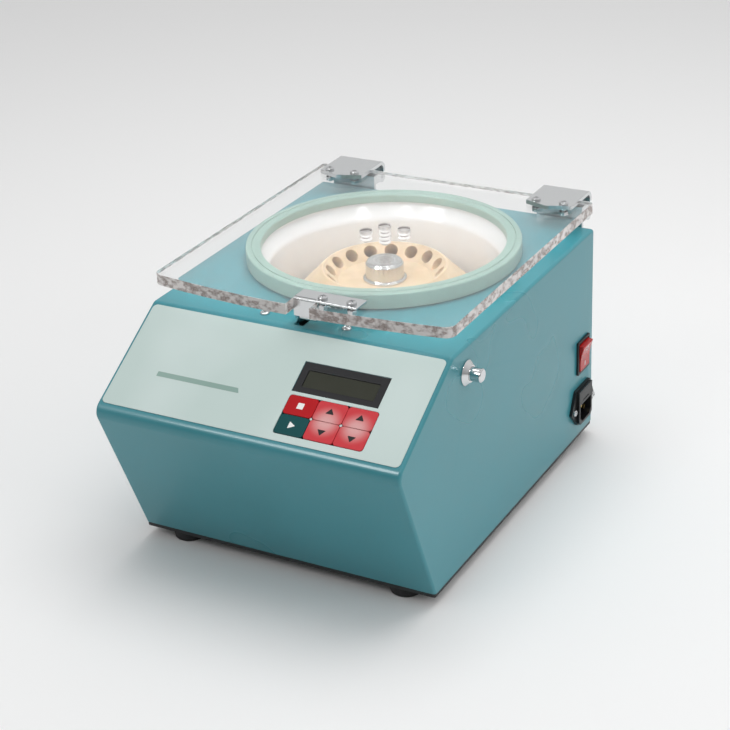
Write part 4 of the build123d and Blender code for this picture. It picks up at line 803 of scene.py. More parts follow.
@dataclass
class Housing:
    """The painted housing, its black base plate and its feet."""

    sheet: float = 1.5
    ridge_radius: float = 10.0
    deck_radius: float = 6.0
    rear_radius: float = 3.0
    side_radius: float = 2.5
    chamber_hole: float = 103.3
    display_hole: Pair = (71.9, 26.9)
    display_at: Pair = (56.0, 65.4)
    keypad_hole: Pair = (74.2, 34.15)
    keypad_at: Pair = (58.05, 32.075)
    keypad_corner: float = 2.5
    slot_left: float = -6.1
    slot_size: Pair = (8.5, 22.0)
    slot_front: float = 43.0
    slot_lip: float = 5.0
    slot_wall: float = 1.0
    button_hole: float = 7.65
    switch_hole: Pair = (22.9, 28.3)
    inlet_hole: Pair = (28.3, 31.9)
    rear_vent: Pair = (3.0, 34.0)
    rear_vents: int = 9
    rear_vent_pitch: float = 8.0
    rear_vent_side: float = 62.0
    rear_vent_rise: float = 70.0
    base_vent: Pair = (46.0, 4.0)
    base_vent_side: float = 88.0
    base_vent_pitch: float = 10.0
    base_inset: float = 0.5
    base_low: float = 8.5
    base_sheet: float = 3.5
    base_screw_side: float = 123.5
    base_screw_end: float = 40.0
    foot_side: float = 98.0
    foot_end: float = 15.0
    foot_recess: float = 4.5

    def corners(self) -> Array:
        """The housing's side outline from the lower front edge round to the lower rear edge, as (y, z)."""
        return np.array([
            (D.front, D.floor), (D.front - D.ridge_lead, D.floor + D.ridge_rise),
            (D.front + D.deck_start, D.deck), (D.rear, D.deck), (D.rear, D.floor)])

    def profile(self, depth: float) -> tuple[Array, list[int]]:
        """The rounded side outline, moved inwards.

        Every point moves along its own normal. The two lower ends slide level, so the lower edge stays flat.

        Args:
            depth: How far inwards.

        Returns:
            The points, and the numbers of the first and last point of each bend.
        """
        steps = 9
        radii = np.array([0, self.ridge_radius, self.deck_radius, self.rear_radius, 0]) - depth
        c = self.corners()
        edge = np.diff(c, axis=0)
        edge /= np.linalg.norm(edge, axis=1, keepdims=True)
        inward = np.stack([edge[:, 1], -edge[:, 0]], axis=-1)
        join = (inward[:-1] + inward[1:]) / (1 + (inward[:-1] * inward[1:]).sum(axis=1, keepdims=True))
        moved = c.copy()
        moved[1:-1] += depth * join
        moved[0] += (depth / inward[0, 0], 0.0)
        moved[-1] += (depth / inward[-1, 0], 0.0)
        line = soften(moved, np.maximum(radii, 0.3), steps, closed=False)
        marks = [1, steps, 1 + steps, 2 * steps, 1 + 2 * steps, 3 * steps]
        return line, marks

    def build(self) -> None:
        """Builds every piece of the housing."""
        self.shell()
        self.base()

    def shell(self) -> None:
        """The folded sheet: flats as filled faces, bends and folded edges as grids, thickened inwards."""
        skin = Skin("housing_sheet")
        half = D.width / 2 - self.side_radius
        line, marks = self.profile(0.0)
        t = np.linspace(0.0, math.pi / 2, 6)
        loops = [self.profile(self.side_radius * (1 - math.cos(a)))[0] for a in t]
        reach = half + self.side_radius * np.sin(t)
        right = np.stack([SECTION.lift(q, D.middle + x) for q, x in zip(loops, reach)], axis=1)
        left = np.stack([SECTION.lift(q, D.middle - x) for q, x in zip(loops, reach)], axis=1)[:, ::-1]
        skin.grid(right)
        skin.grid(left)
        for first, last in zip(marks[::2], marks[1::2]):
            skin.grid(np.stack([left[first:last + 1, -1], right[first:last + 1, 0]], axis=1))
        ends = [0] + marks + [len(line) - 1]
        flats = [(ends[k], ends[k + 1]) for k in range(0, len(ends), 2)]
        openings = [[], self.panel_holes(), self.deck_holes(), self.rear_holes()]
        seats = [None, PANEL, BENCH.raised(D.deck), REAR]
        for (first, last), holes, seat in zip(flats, openings, seats):
            four = np.array([left[first, -1], right[first, 0], right[last, 0], left[last, -1]])
            if seat is None:
                skin.grid(np.stack([four[[0, 3]], four[[1, 2]]], axis=1))
                continue
            away = four - np.array(seat.origin)
            flat = np.stack([away @ np.array(seat.across), away @ np.array(seat.up)], axis=-1)
            skin.fill(seat, [flat] + holes)
        side = loops[-1]
        right_holes = [ring(self.button_hole, 48, D.button), box_loop(*self.switch_hole, D.switch),
                       box_loop(*self.inlet_hole, D.inlet)]
        skin.fill(SIDE, [side[::-1]] + right_holes)
        skin.fill(SECTION.raised(D.middle - D.width / 2), [side[::-1]], flip=True)
        piece = skin.build([TEAL_PAINT], "base", ("housing_shell",), "housing_paint")
        folded = piece.modifiers.new("sheet", "SOLIDIFY")
        folded.thickness = self.sheet * MM
        folded.offset = -1.0
        piece.modifiers.move(1, 0)
        lip = Skin("hook_slot_lip")
        (width, length), wall, middle = self.slot_size, 2 * self.slot_wall, self.slot_middle()
        outline, opening = box_loop(width + wall, length + wall, middle, 2.0), box_loop(width, length, middle, 1.0)
        lip.plate(BENCH.raised(D.deck), outline, self.slot_lip - self.sheet / 2, 0.2, (opening,),
                  base=-self.slot_lip, steps=2)
        lip.build([TEAL_PAINT], "base", slot="housing_paint")

    def panel_holes(self) -> list[Array]:
        """Outlines of the display's and the keys' openings on the slope."""
        return [box_loop(*self.display_hole, self.display_at),
                box_loop(*self.keypad_hole, self.keypad_at, self.keypad_corner)]

    def slot_middle(self) -> Pair:
        """Middle of the hook's slot on the deck."""
        width, length = self.slot_size
        return (D.middle + self.slot_left + width / 2, D.front + self.slot_front + length / 2)

    def deck_holes(self) -> list[Array]:
        """Outlines of the chamber's opening and the hook's slot on the deck."""
        return [ring(self.chamber_hole, 180, D.chamber), box_loop(*self.slot_size, self.slot_middle(), 1.0)]

    def rear_holes(self) -> list[Array]:
        """Outlines of the vent slots in the rear wall."""
        count = self.rear_vents
        side = np.repeat((-self.rear_vent_side, self.rear_vent_side), count) - D.middle
        step = np.tile((np.arange(count) - count // 2) * self.rear_vent_pitch, 2)
        z = D.floor + self.rear_vent_rise
        return [box_loop(*self.rear_vent, (float(x), z), 1.49, 6) for x in side + step]

    def base(self) -> None:
        """The base plate with its vents, the feet and the screws from below."""
        middle, rim = (D.front + D.rear) / 2, 2 * self.base_inset
        vents = tuple(
            box_loop(*self.base_vent, (D.middle + side * self.base_vent_side,
                                       D.chamber[1] + k * self.base_vent_pitch), 1.99, 6)
            for side in (-1, 1) for k in range(-2, 3))
        plate = Skin("base_sheet")
        outline = box_loop(D.width - rim, D.depth - rim, (D.middle, middle), 2.0)
        plate.plate(BENCH, outline, self.base_sheet, 0.4, vents, base=self.base_low, steps=3)
        plate.build([BLACK_PAINT], "base", ("base_plate",), "base_paint")
        feet = Skin("rubber_feet")
        screws = Skin("foot_fixings")
        low, top = self.foot_recess, self.base_low
        section = soften(np.array([(2.3, low), (6.0, low), (6.0, 0.0), (12.5, 0.0), (14.0, top), (2.3, top)]),
                         (0, 0.5, 0.6, 1.6, 0.3, 0), 6)
        recess = Seat((0, 0, low), (1, 0, 0), (0, -1, 0))
        ends = (D.front + self.foot_end, D.rear - self.foot_end)
        places = [(D.middle + side * self.foot_side, y) for side in (-1, 1) for y in ends]
        for place in places:
            feet.turned(BENCH, place, section, 72)
        PanScrew(length=7.4).row(screws, recess, [(x, -y) for x, y in places], 0.4, 0.9)
        feet.build([FOOT_RUBBER], "base", ("feet",), "foot_rubber")
        screws.build([ZINC_SCREW], "base", ("foot_screws",), "zinc_steel", sharp=50)
        fixings = Skin("base_fixings")
        ends = (D.front + self.base_screw_end, middle, D.rear - self.base_screw_end)
        places = [(D.middle + side * self.base_screw_side, -y) for side in (-1, 1) for y in ends]
        PanScrew(length=8.0).row(fixings, UNDER.raised(-self.base_low), places, 0.0, 0.7)
        fixings.build([ZINC_SCREW], "base", ("base_screws",), "zinc_steel", sharp=50)


@dataclass
class Chamber:
    """The white bowl and the seal on its rim."""

    rim: float = 101.8
    wall: float = 1.2
    depth: float = 67.5
    seal_outer: float = 111.4
    seal_inner: float = 99.1
    groove: float = 106.3

    def build(self) -> None:
        """Builds the bowl and the seal."""
        z = D.deck - self.depth
        inner = soften([
            (self.rim, D.deck + 9.5), (self.rim, D.deck + 3.5), (94.0, D.deck - 7.0), (92.0, z), (16.0, z)],
            (0, 5.0, 8.0, 24.0, 0), 14, closed=False)
        flange = [(100.6, 0.0), (107.8, 0.0), (107.8, self.wall), (100.9, self.wall)]
        bowl = Skin("bowl_pressing")
        bowl.turned(BENCH, D.chamber, np.concatenate([beside(inner, self.wall)[::-1], inner]), 192)
        bowl.turned(BENCH.raised(D.deck), D.chamber, soften(flange, 0.3, 3), 192)
        bowl.build([BOWL_ENAMEL], "base", ("bowl",), "bowl_enamel")
        low, top = D.deck + self.wall, D.lid_low - 0.3
        bead, lap, g = D.deck + 6.1, D.deck + 9.8, self.groove
        outer, inner = self.seal_outer, self.seal_inner
        corners = [(103.3, low), (outer, low), (outer, top), (g + 0.45, top), (g + 0.3, top - 0.8),
                   (g - 0.3, top - 0.8), (g - 0.45, top), (inner, top), (inner, bead), (101.5, bead),
                   (101.5, lap), (103.3, lap)]
        radii = (0, 0.6, 1.4, 0.2, 0.1, 0.1, 0.2, 1.4, 0.9, 0.3, 0.2, 0.2)
        seal = Skin("seal_ring")
        seal.turned(BENCH, D.chamber, soften(corners, radii, 6), 192)
        seal.build([SEAL], "base", ("gasket",), "seal_rubber")


@dataclass
class RotorUnit:
    """The rotor with its sixteen pockets, and the knob that holds it."""

    floor: float = 170.2
    dish: float = 38.2
    rim: float = 50.4
    skirt: float = 86.0
    foot: float = 138.0
    web: float = 158.0
    hub: float = 22.0
    hub_foot: float = 140.0
    bore: float = 6.1
    pockets: int = 16
    pocket_radius: float = 5.5
    pocket_circle: float = 44.3
    pocket_depth: float = 39.0
    phase: float = -1.7
    knob: float = 15.6
    flange: float = 17.8
    knob_rise: float = 16.0
    steps: int = 12

    def build(self) -> None:
        """Builds the rotor and its knob."""
        self.rotor()
        self.clamp()

    def rotor(self) -> None:
        """The turned body, with the dish built as sixteen patches round the pockets' mouths.

        In each patch the lines run from the mouth's circle, projected on the 45 degree dish, to the edge. The
        pocket's wall carries that circle down its axis. Every patch is the first one turned by its angle.
        """
        count = self.pockets * self.steps
        start = math.radians(self.phase) + math.pi / self.pockets
        rim_z = self.floor + self.rim - self.dish
        lip = 1.3
        low = np.array([self.dish + 0.25, self.floor + 0.25])
        high = np.array([self.rim - lip * 0.75, rim_z - lip * 0.75])
        half = math.pi / self.pockets
        side = np.linspace(-half, half, self.steps + 1)
        up = np.linspace(0.0, 1.0, self.steps + 1)
        one = np.ones(self.steps)
        edge_t = np.concatenate([side[:-1], half * one, side[::-1][:-1], -half * one])
        edge_s = np.concatenate([0 * one, up[:-1], one, up[::-1][:-1]])
        edge_rz = low + edge_s[:, None] * (high - low)
        edge_r, edge_z = edge_rz.T
        outer = np.stack([edge_r * np.cos(edge_t), edge_r * np.sin(edge_t), edge_z], axis=-1)
        mouth_z = self.floor + self.pocket_circle - self.dish
        centre = np.array([self.pocket_circle, 0.0, mouth_z])
        axis = np.array([1.0, 0.0, -1.0]) / math.sqrt(2)
        lay = np.array([1.0, 0.0, 1.0]) / math.sqrt(2)
        across = np.array([0.0, 1.0, 0.0])
        away = outer - centre
        angle = np.arctan2(away @ across, away @ lay)

        def circle(radius: float, depth: float) -> Array:
            """The pocket's circle of that radius, that far down its axis."""
            return (centre + depth * axis + radius * np.cos(angle)[:, None] * lay
                    + radius * np.sin(angle)[:, None] * across)

        def on_dish(radius: float) -> Array:
            """The mouth's circle slid along the pocket's axis on to the cone r - z = const."""
            p = circle(radius, 0.0)
            want = self.dish - self.floor
            for _ in range(8):
                miss = np.hypot(p[:, 0], p[:, 1]) - p[:, 2] - want
                p = p - (miss / math.sqrt(2))[:, None] * axis
            return p

        r = self.pocket_radius
        mouth = on_dish(r + 0.35)
        rows = [outer, outer * 0.5 + on_dish(r + 1.2) * 0.5, on_dish(r + 1.0), mouth]
        rows[1] = self.to_dish(rows[1])
        wall = [on_dish(r) + 0.35 * axis]
        end = self.pocket_depth
        wall += [circle(r, d) for d in (5.0, 12.0, 20.0, end - 9.0)]
        wall += [circle(r - 1.5, end - 4.0), circle(2.0, end), circle(0.0, end)]
        patch = np.stack(rows + wall)
        skin = Skin("rotor_body")
        for turn in math.radians(self.phase) + 2 * half * np.arange(self.pockets):
            c, s = math.cos(turn), math.sin(turn)
            spun = patch @ np.array([(c, s, 0.0), (-s, c, 0.0), (0.0, 0.0, 1.0)])
            skin.grid(spun + np.array([*D.chamber, 0.0]), wrap=True)
        spin = np.linspace(0.0, 2 * math.pi, count, endpoint=False) + start
        cone = rim_z - (self.skirt - self.rim)
        rim_line = soften([(high[0] - 3, high[1] - 3), (self.rim, rim_z), (self.rim + 6, rim_z - 6)], 1.84, 8,
                          closed=False)[1:-1]
        guide = (self.skirt, self.web)
        under = soften([
            (self.rim + 3, rim_z - 3), (self.skirt, cone), (self.skirt, self.foot), (66.0, self.foot), guide,
            (self.hub, self.web), (self.hub, self.hub_foot), (self.bore, self.hub_foot),
            (self.bore, self.floor), (low[0] - 3, self.floor)],
            (0, 2.0, 2.0, 0.5, 0, 0, 0, 0, 0, 0), 6, closed=False)
        # The guide only steers the rounding at the skirt's foot, so it isn't a point of the body.
        under = under[np.abs(under - guide).max(axis=1) > 1e-6]
        body = np.concatenate([[high], rim_line, under, [low]])[::-1]
        flat = body[:, None, :1] * np.stack([np.cos(spin), np.sin(spin)], axis=-1) + np.array(D.chamber)
        skin.grid(BENCH.lift(flat, np.repeat(body[:, 1:], count, axis=1)), wrap=True)
        skin.build([ROTOR_NYLON], "rotor_assembly", ("rotor",), "rotor_nylon", sharp=28)

    def to_dish(self, p: Array) -> Array:
        """Puts points on the dish's cone by setting their height from their distance to the axis."""
        out = p.copy()
        out[:, 2] = self.floor + np.hypot(p[:, 0], p[:, 1]) - self.dish
        return out

    def clamp(self) -> None:
        """The knob: a flange, a waist groove, a plain body and a wide chamfer under a faced top."""
        z, top, r = self.floor, self.floor + self.knob_rise, self.knob
        line = soften([
            (0.0, z), (self.flange, z), (self.flange, z + 1.6), (r + 0.4, z + 2.0), (r, z + 2.6),
            (r, top - 2.3), (r - 1.7, top - 0.15), (r - 2.2, top), (0.0, top)],
            (0, 0.25, 0.5, 0.3, 0.2, 0.35, 0.25, 0.15, 0), 5, closed=False)
        knob = Skin("rotor_knob_body")
        knob.turned(BENCH, D.chamber, line, 144, closed=False)
        knob.build([KNOB_ALUMINIUM], "rotor_assembly", ("rotor_knob",), "knob_aluminium")


@dataclass
class LidUnit:
    """The clear lid with its hinge covers, strike, screws and nuts."""

    inset_side: float = 1.2
    front: float = 39.9
    bow: float = 10.1
    overhang: float = 0.6
    edge: float = 0.35
    corner: float = 8.0
    corner_run: float = 22.0
    corner_reach: float = 40.0
    rear_corner: float = 3.0
    notch_gap: float = 0.6
    vent_radius: float = 5.1
    vent_circle: float = 17.8
    vent_back: float = 3.3
    vents: tuple[int, ...] = (60, 120, 180)
    vent_drops: tuple[float, ...] = (7.2, 14.0, 7.2)
    vent_ridge: float = 3.4
    strike_left: float = -3.3
    strike_front: float = 40.2
    strike_width: float = 54.2
    strike_depth: float = 16.7
    strike_sheet: float = 1.5
    tab_width: float = 19.0
    foot_inset: float = 4.8
    hinge_side: float = 98.2
    hinge_width: float = 41.0
    hinge_plate: float = 3.5
    hinge_reach: float = 30.0
    hinge_point: float = 7.0
    pin_stand: float = 15.7
    knuckle: float = 6.0
    tongue: float = 18.0
    pin_bore: float = 2.56
    pin_rise: float = 6.5
    hinge_screw_back: float = 20.5
    hinge_screw_side: float = 12.25
    strike_screws: Pair = (19.0, 43.5)
    strike_screw_back: float = 6.4

    def build(self) -> None:
        """Builds every piece of the lid."""
        self.sheet()
        self.sleeves()
        self.strike()
        for name, side in (("left", -1), ("right", 1)):
            self.cover(name, D.middle + side * self.hinge_side)
        self.fixings()

    def outline(self) -> Array:
        """The lid's outline: straight sides and back, a front bowed as one arc, a notch for the strike."""
        half = D.width / 2 - self.inset_side
        left, right = D.middle - half, D.middle + half
        radius = (half * half + self.bow * self.bow) / (2 * self.bow)
        back, side = D.rear + self.overhang, D.front + self.front + self.corner_reach
        centre = D.front + self.front - self.bow + radius
        near = D.middle + self.strike_left - self.notch_gap
        far = D.middle + self.strike_left + self.tab_width + self.notch_gap
        deep = D.front + self.strike_front + self.strike_sheet + self.notch_gap

        def arc(x: Array | float) -> Array:
            """The front arc's points at those places across."""
            x = np.atleast_1d(x)
            return np.stack([x, centre - np.sqrt(radius ** 2 - (x - D.middle) ** 2)], axis=-1)

        def turn(*points: Array | Pair, bend: float = self.corner, steps: int = 10) -> Array:
            """A line of those points with its corners rounded, without its two ends."""
            return soften(np.vstack(points), bend, steps, closed=False)[1:-1]

        run = self.corner_run
        first = turn((left, side), arc(left), arc(left + run))
        last = turn(arc(right - run), arc(right), (right, side))
        rear = turn((right, side), (right, back), (left, back), (left, side), bend=self.rear_corner, steps=6)
        cut = np.vstack([arc(near), (near, deep), (far, deep), arc(far)])
        return np.concatenate([first, arc(np.linspace(first[-1, 0], near, 26))[1:-1], cut,
                               arc(np.linspace(far, last[0, 0], 26))[1:-1], last, rear])

    def vent_places(self) -> list[Pair]:
        """The axes of the vents, on an arc behind the rotor's."""
        x, y = D.chamber[0], D.chamber[1] + self.vent_back
        return [(x + self.vent_circle * math.cos(a), y + self.vent_circle * math.sin(a))
                for a in np.radians(self.vents)]

    def sheet(self) -> None:
        """The acrylic: clear faces, sawn edges, and drilled vents whose walls keep the drill's ridges."""
        holes = [ring(self.vent_radius, 48, place) for place in self.vent_places()]
        ridges = 0.32 * np.abs(np.sin(np.linspace(0.0, 3.5 * math.pi, 29)))
        rows = np.linspace(0.0, D.lid_thickness, 29)
        seat, outline = BENCH.raised(D.lid_low), self.outline()
        skin = Skin("lid_sheet")
        skin.plate(seat, outline, D.lid_thickness, self.edge, steps=3, walls=1, top=False, floor=False)
        for hole in holes:
            loops = [inset(hole, -w) for w in ridges]
            loops[0], loops[-1] = hole, hole
            wall = np.stack([seat.lift(q, h) for q, h in zip(loops, rows)])
            skin.grid(wall, wrap=True, finish=2, flip=True)
        ends = [inset(outline, self.edge)] + holes
        skin.fill(seat, ends, D.lid_thickness)
        skin.fill(seat, ends, 0.0, flip=True)
        skin.build([CLEAR_FACE, CLEAR_EDGE, CLEAR_HOLE], "lid_assembly", ("lid",), "acrylic", sharp=40)

    def sleeves(self) -> None:
        """The vents' clear sleeves: tubes that swell and shrink as a cosine, and taper at the foot."""
        skin = Skin("vent_sleeves")
        for place, drop in zip(self.vent_places(), self.vent_drops):
            z = np.linspace(0.0, -drop, int(drop / self.vent_ridge * 14))
            swell = 0.8 * (1 - np.cos(2 * math.pi * z / self.vent_ridge))
            taper = 1.5 * np.clip((-z - drop + 2.6) / 2.6, 0.0, 1.0) ** 2
            outer = np.stack([self.vent_radius - 0.1 - 1.6 + swell - taper, D.lid_low - 0.02 + z], axis=-1)
            inner = np.array([(2.6, outer[-1, 1]), (2.6, outer[0, 1])])
            skin.turned(BENCH, place, np.concatenate([outer[::-1], inner[::-1]]), 48)
        skin.build([CLEAR_HOLE], "lid_assembly", slot="acrylic")

    def strike(self) -> None:
        """The strike: a plate on the lid, a tab bent down from it, and a narrower foot bent back below."""
        y, x = D.front + self.strike_front, D.middle + self.strike_left
        top = D.lid_top
        skin = Skin("strike_plate")
        centre = (x + self.strike_width / 2, y + self.strike_depth / 2)
        outline = box_loop(self.strike_width, self.strike_depth, centre, 0.6, 4)
        skin.plate(BENCH, outline, self.strike_sheet, 0.35, base=top, steps=4)
        low = D.deck + 6.3
        foot, face = x + self.foot_inset, top + self.strike_sheet
        for left, width, line in (
                (x, self.tab_width, [(y + 3.0, face), (y, face), (y, low + 3.0)]),
                (foot, x + self.tab_width - foot, [(y, low + 3.1), (y, low), (y + 11.8, low)])):
            outer = soften(line, 2.2, 8, closed=False)
            strip = np.concatenate([outer, beside(outer, self.strike_sheet)[::-1]])
            skin.plate(SECTION.raised(left), strip, width, 0.3, steps=3)
        skin.build([STAINLESS], "lid_assembly", ("latch_strike",), "stainless", sharp=40)

    def cover(self, name: str, x: float) -> None:
        """A hinge cover: a thick plate bent down behind the lid, and its tongue rolled round the pin.

        Its front edge is a shallow V, made as a shear: each point moves back by its distance from the middle,
        fading towards the bend.

        Args:
            name: Its side.
            x: The middle of it.
        """
        h, pin = self.hinge_plate, (D.rear + self.pin_stand, D.deck + self.pin_rise)
        back, top = pin[0] + self.knuckle, D.lid_top + h
        front, end = D.rear + self.overhang - self.hinge_reach, pin[1] + 9.0
        outer = soften([(front, top), (back, top), (back, end)], 8.0, 14, closed=False)
        inner = soften([(back - h, end), (back - h, top - h), (front, top - h)], 4.5, 10, closed=False)
        section = np.concatenate([outer, inner])[::-1]
        bend, w, point = back - 8.0, self.hinge_width / 2, self.hinge_point

        class Cover(Skin):
            """A skin that shears the cover's front into its V."""

            def bent(self, points: Array) -> Array:
                """Moves each point back by the V's depth at its place across."""
                share = np.clip((bend - points[:, 1]) / (bend - front), 0.0, 1.0)
                out = points.copy()
                out[:, 1] += point * np.minimum(np.abs(points[:, 0] - x) / w, 1.0) * share
                return out

        skin = Cover(name + "_cover_plate")
        skin.plate(SECTION.raised(x - w), section, 2 * w, 0.5, steps=4, ribs=7)
        skin.build([STAINLESS], "lid_assembly", (name + "_hinge_cover",), "stainless", sharp=40)
        tongue = Skin(name + "_cover_knuckle")
        seat = SECTION.raised(x - self.tongue / 2)
        bore = ring(self.pin_bore, 32, pin)
        tongue.plate(seat, ring(self.knuckle, 48, pin), self.tongue, 0.4, (bore,), steps=3)
        low, high = pin[1], end + 0.2
        strip = np.array([(back - h, low), (back, low), (back, high), (back - h, high)])
        tongue.plate(seat, strip, self.tongue, 0.2, steps=3)
        tongue.build([STAINLESS], "lid_assembly", slot="stainless")

    def fixings(self) -> None:
        """The lid's screws and the nuts under it."""
        screws, nuts = Skin("lid_fixings"), Skin("lid_fixing_nuts")
        y = D.rear + self.overhang - self.hinge_screw_back
        hinge = [(D.middle + side * self.hinge_side + s * self.hinge_screw_side, y)
                 for side in (-1, 1) for s in (-1, 1)]
        near = D.front + self.strike_front + self.strike_screw_back
        strike = [(D.middle + x, near) for x in self.strike_screws]
        PanScrew(length=16.8).row(screws, BENCH.raised(D.lid_top + self.hinge_plate), hinge, 0.5, 0.8)
        PanScrew(length=14.8).row(screws, BENCH.raised(D.lid_top + self.strike_sheet), strike, 0.15, 0.6)
        for place in hinge + strike:
            add_nut(nuts, BENCH.raised(D.lid_low), place)
        screws.build([ZINC_SCREW], "lid_assembly", ("lid_screws",), "zinc_steel", sharp=50)
        nuts.build([ZINC_SCREW], "lid_assembly", ("lid_nuts",), "zinc_steel")


@dataclass
class Hinges:
    """The fixed hinge brackets, whose pins and plates are the solids themselves."""

    side: float = 98.2
    apart: float = 13.0
    drop: float = 8.5
    sheet: float = 3.0

    def build(self) -> None:
        """Builds the brackets' screws."""
        skin = Skin("bracket_fixings")
        places = [(-(D.middle + side * self.side + s * self.apart), D.deck - self.drop)
                  for side in (-1, 1) for s in (-1, 1)]
        PanScrew(length=7.5).row(skin, REAR.raised(self.sheet), places, 0.3, 0.7)
        skin.build([ZINC_SCREW], "base", ("bracket_screws",), "zinc_steel", sharp=50)


@dataclass
class Lock:
    """The release button, its bush and the screws of the lock's bracket."""

    radius: float = 5.4
    reach: float = 13.5
    bush: float = 7.5
    bush_flange: float = 10.0
    screw_side: float = 35.7
    screw_back: float = 51.0

    def build(self) -> None:
        """Builds the button, the bush and the deck's screws."""
        r, top = self.radius, self.reach
        line = [(3.05, -3.0), (r, -3.0), (r, top - 0.9), (r - 0.9, top), (0.0, top - 0.25)]
        button = Skin("release_button")
        button.turned(SIDE, D.button, soften(line, (0, 0.2, 0.5, 0.4, 0), 5, closed=False), 72, closed=False)
        button.build([BUTTON_CHROME], "lock", ("lock_button",), "button_chrome")
        bore, low, high = r + 0.06, -8.5, 4.5
        flange = self.bush_flange
        cone = [(bore, low), (self.bush, low), (self.bush, 0.0), (flange, 0.0), (flange, 1.0), (6.6, high),
                (bore, high)]
        bush = Skin("button_bush")
        bush.turned(SIDE, D.button, soften(cone, (0, 0.4, 0, 0.2, 0.4, 0.4, 0.2), 5), 72)
        bush.build([BUTTON_CHROME], "base", ("lock_bush",), "button_chrome")
        screws = Skin("lock_fixings")
        places = [(D.middle + side * self.screw_side, D.front + self.screw_back) for side in (-1, 1)]
        PanScrew(length=7.4).row(screws, BENCH.raised(D.deck), places, 0.6, 1.0)
        screws.build([ZINC_SCREW], "base", ("lock_screws",), "zinc_steel", sharp=50)


class Sign(Enum):
    """What a key's mark shows."""

    STOP = "square"
    START = "triangle"
    UP = "up"
    DOWN = "down"


@dataclass(frozen=True)
class Key:
    """One key: its node, its column and row, its film and its mark."""

    node: str
    column: int
    row: int
    film: PrintedFilm
    sign: Sign


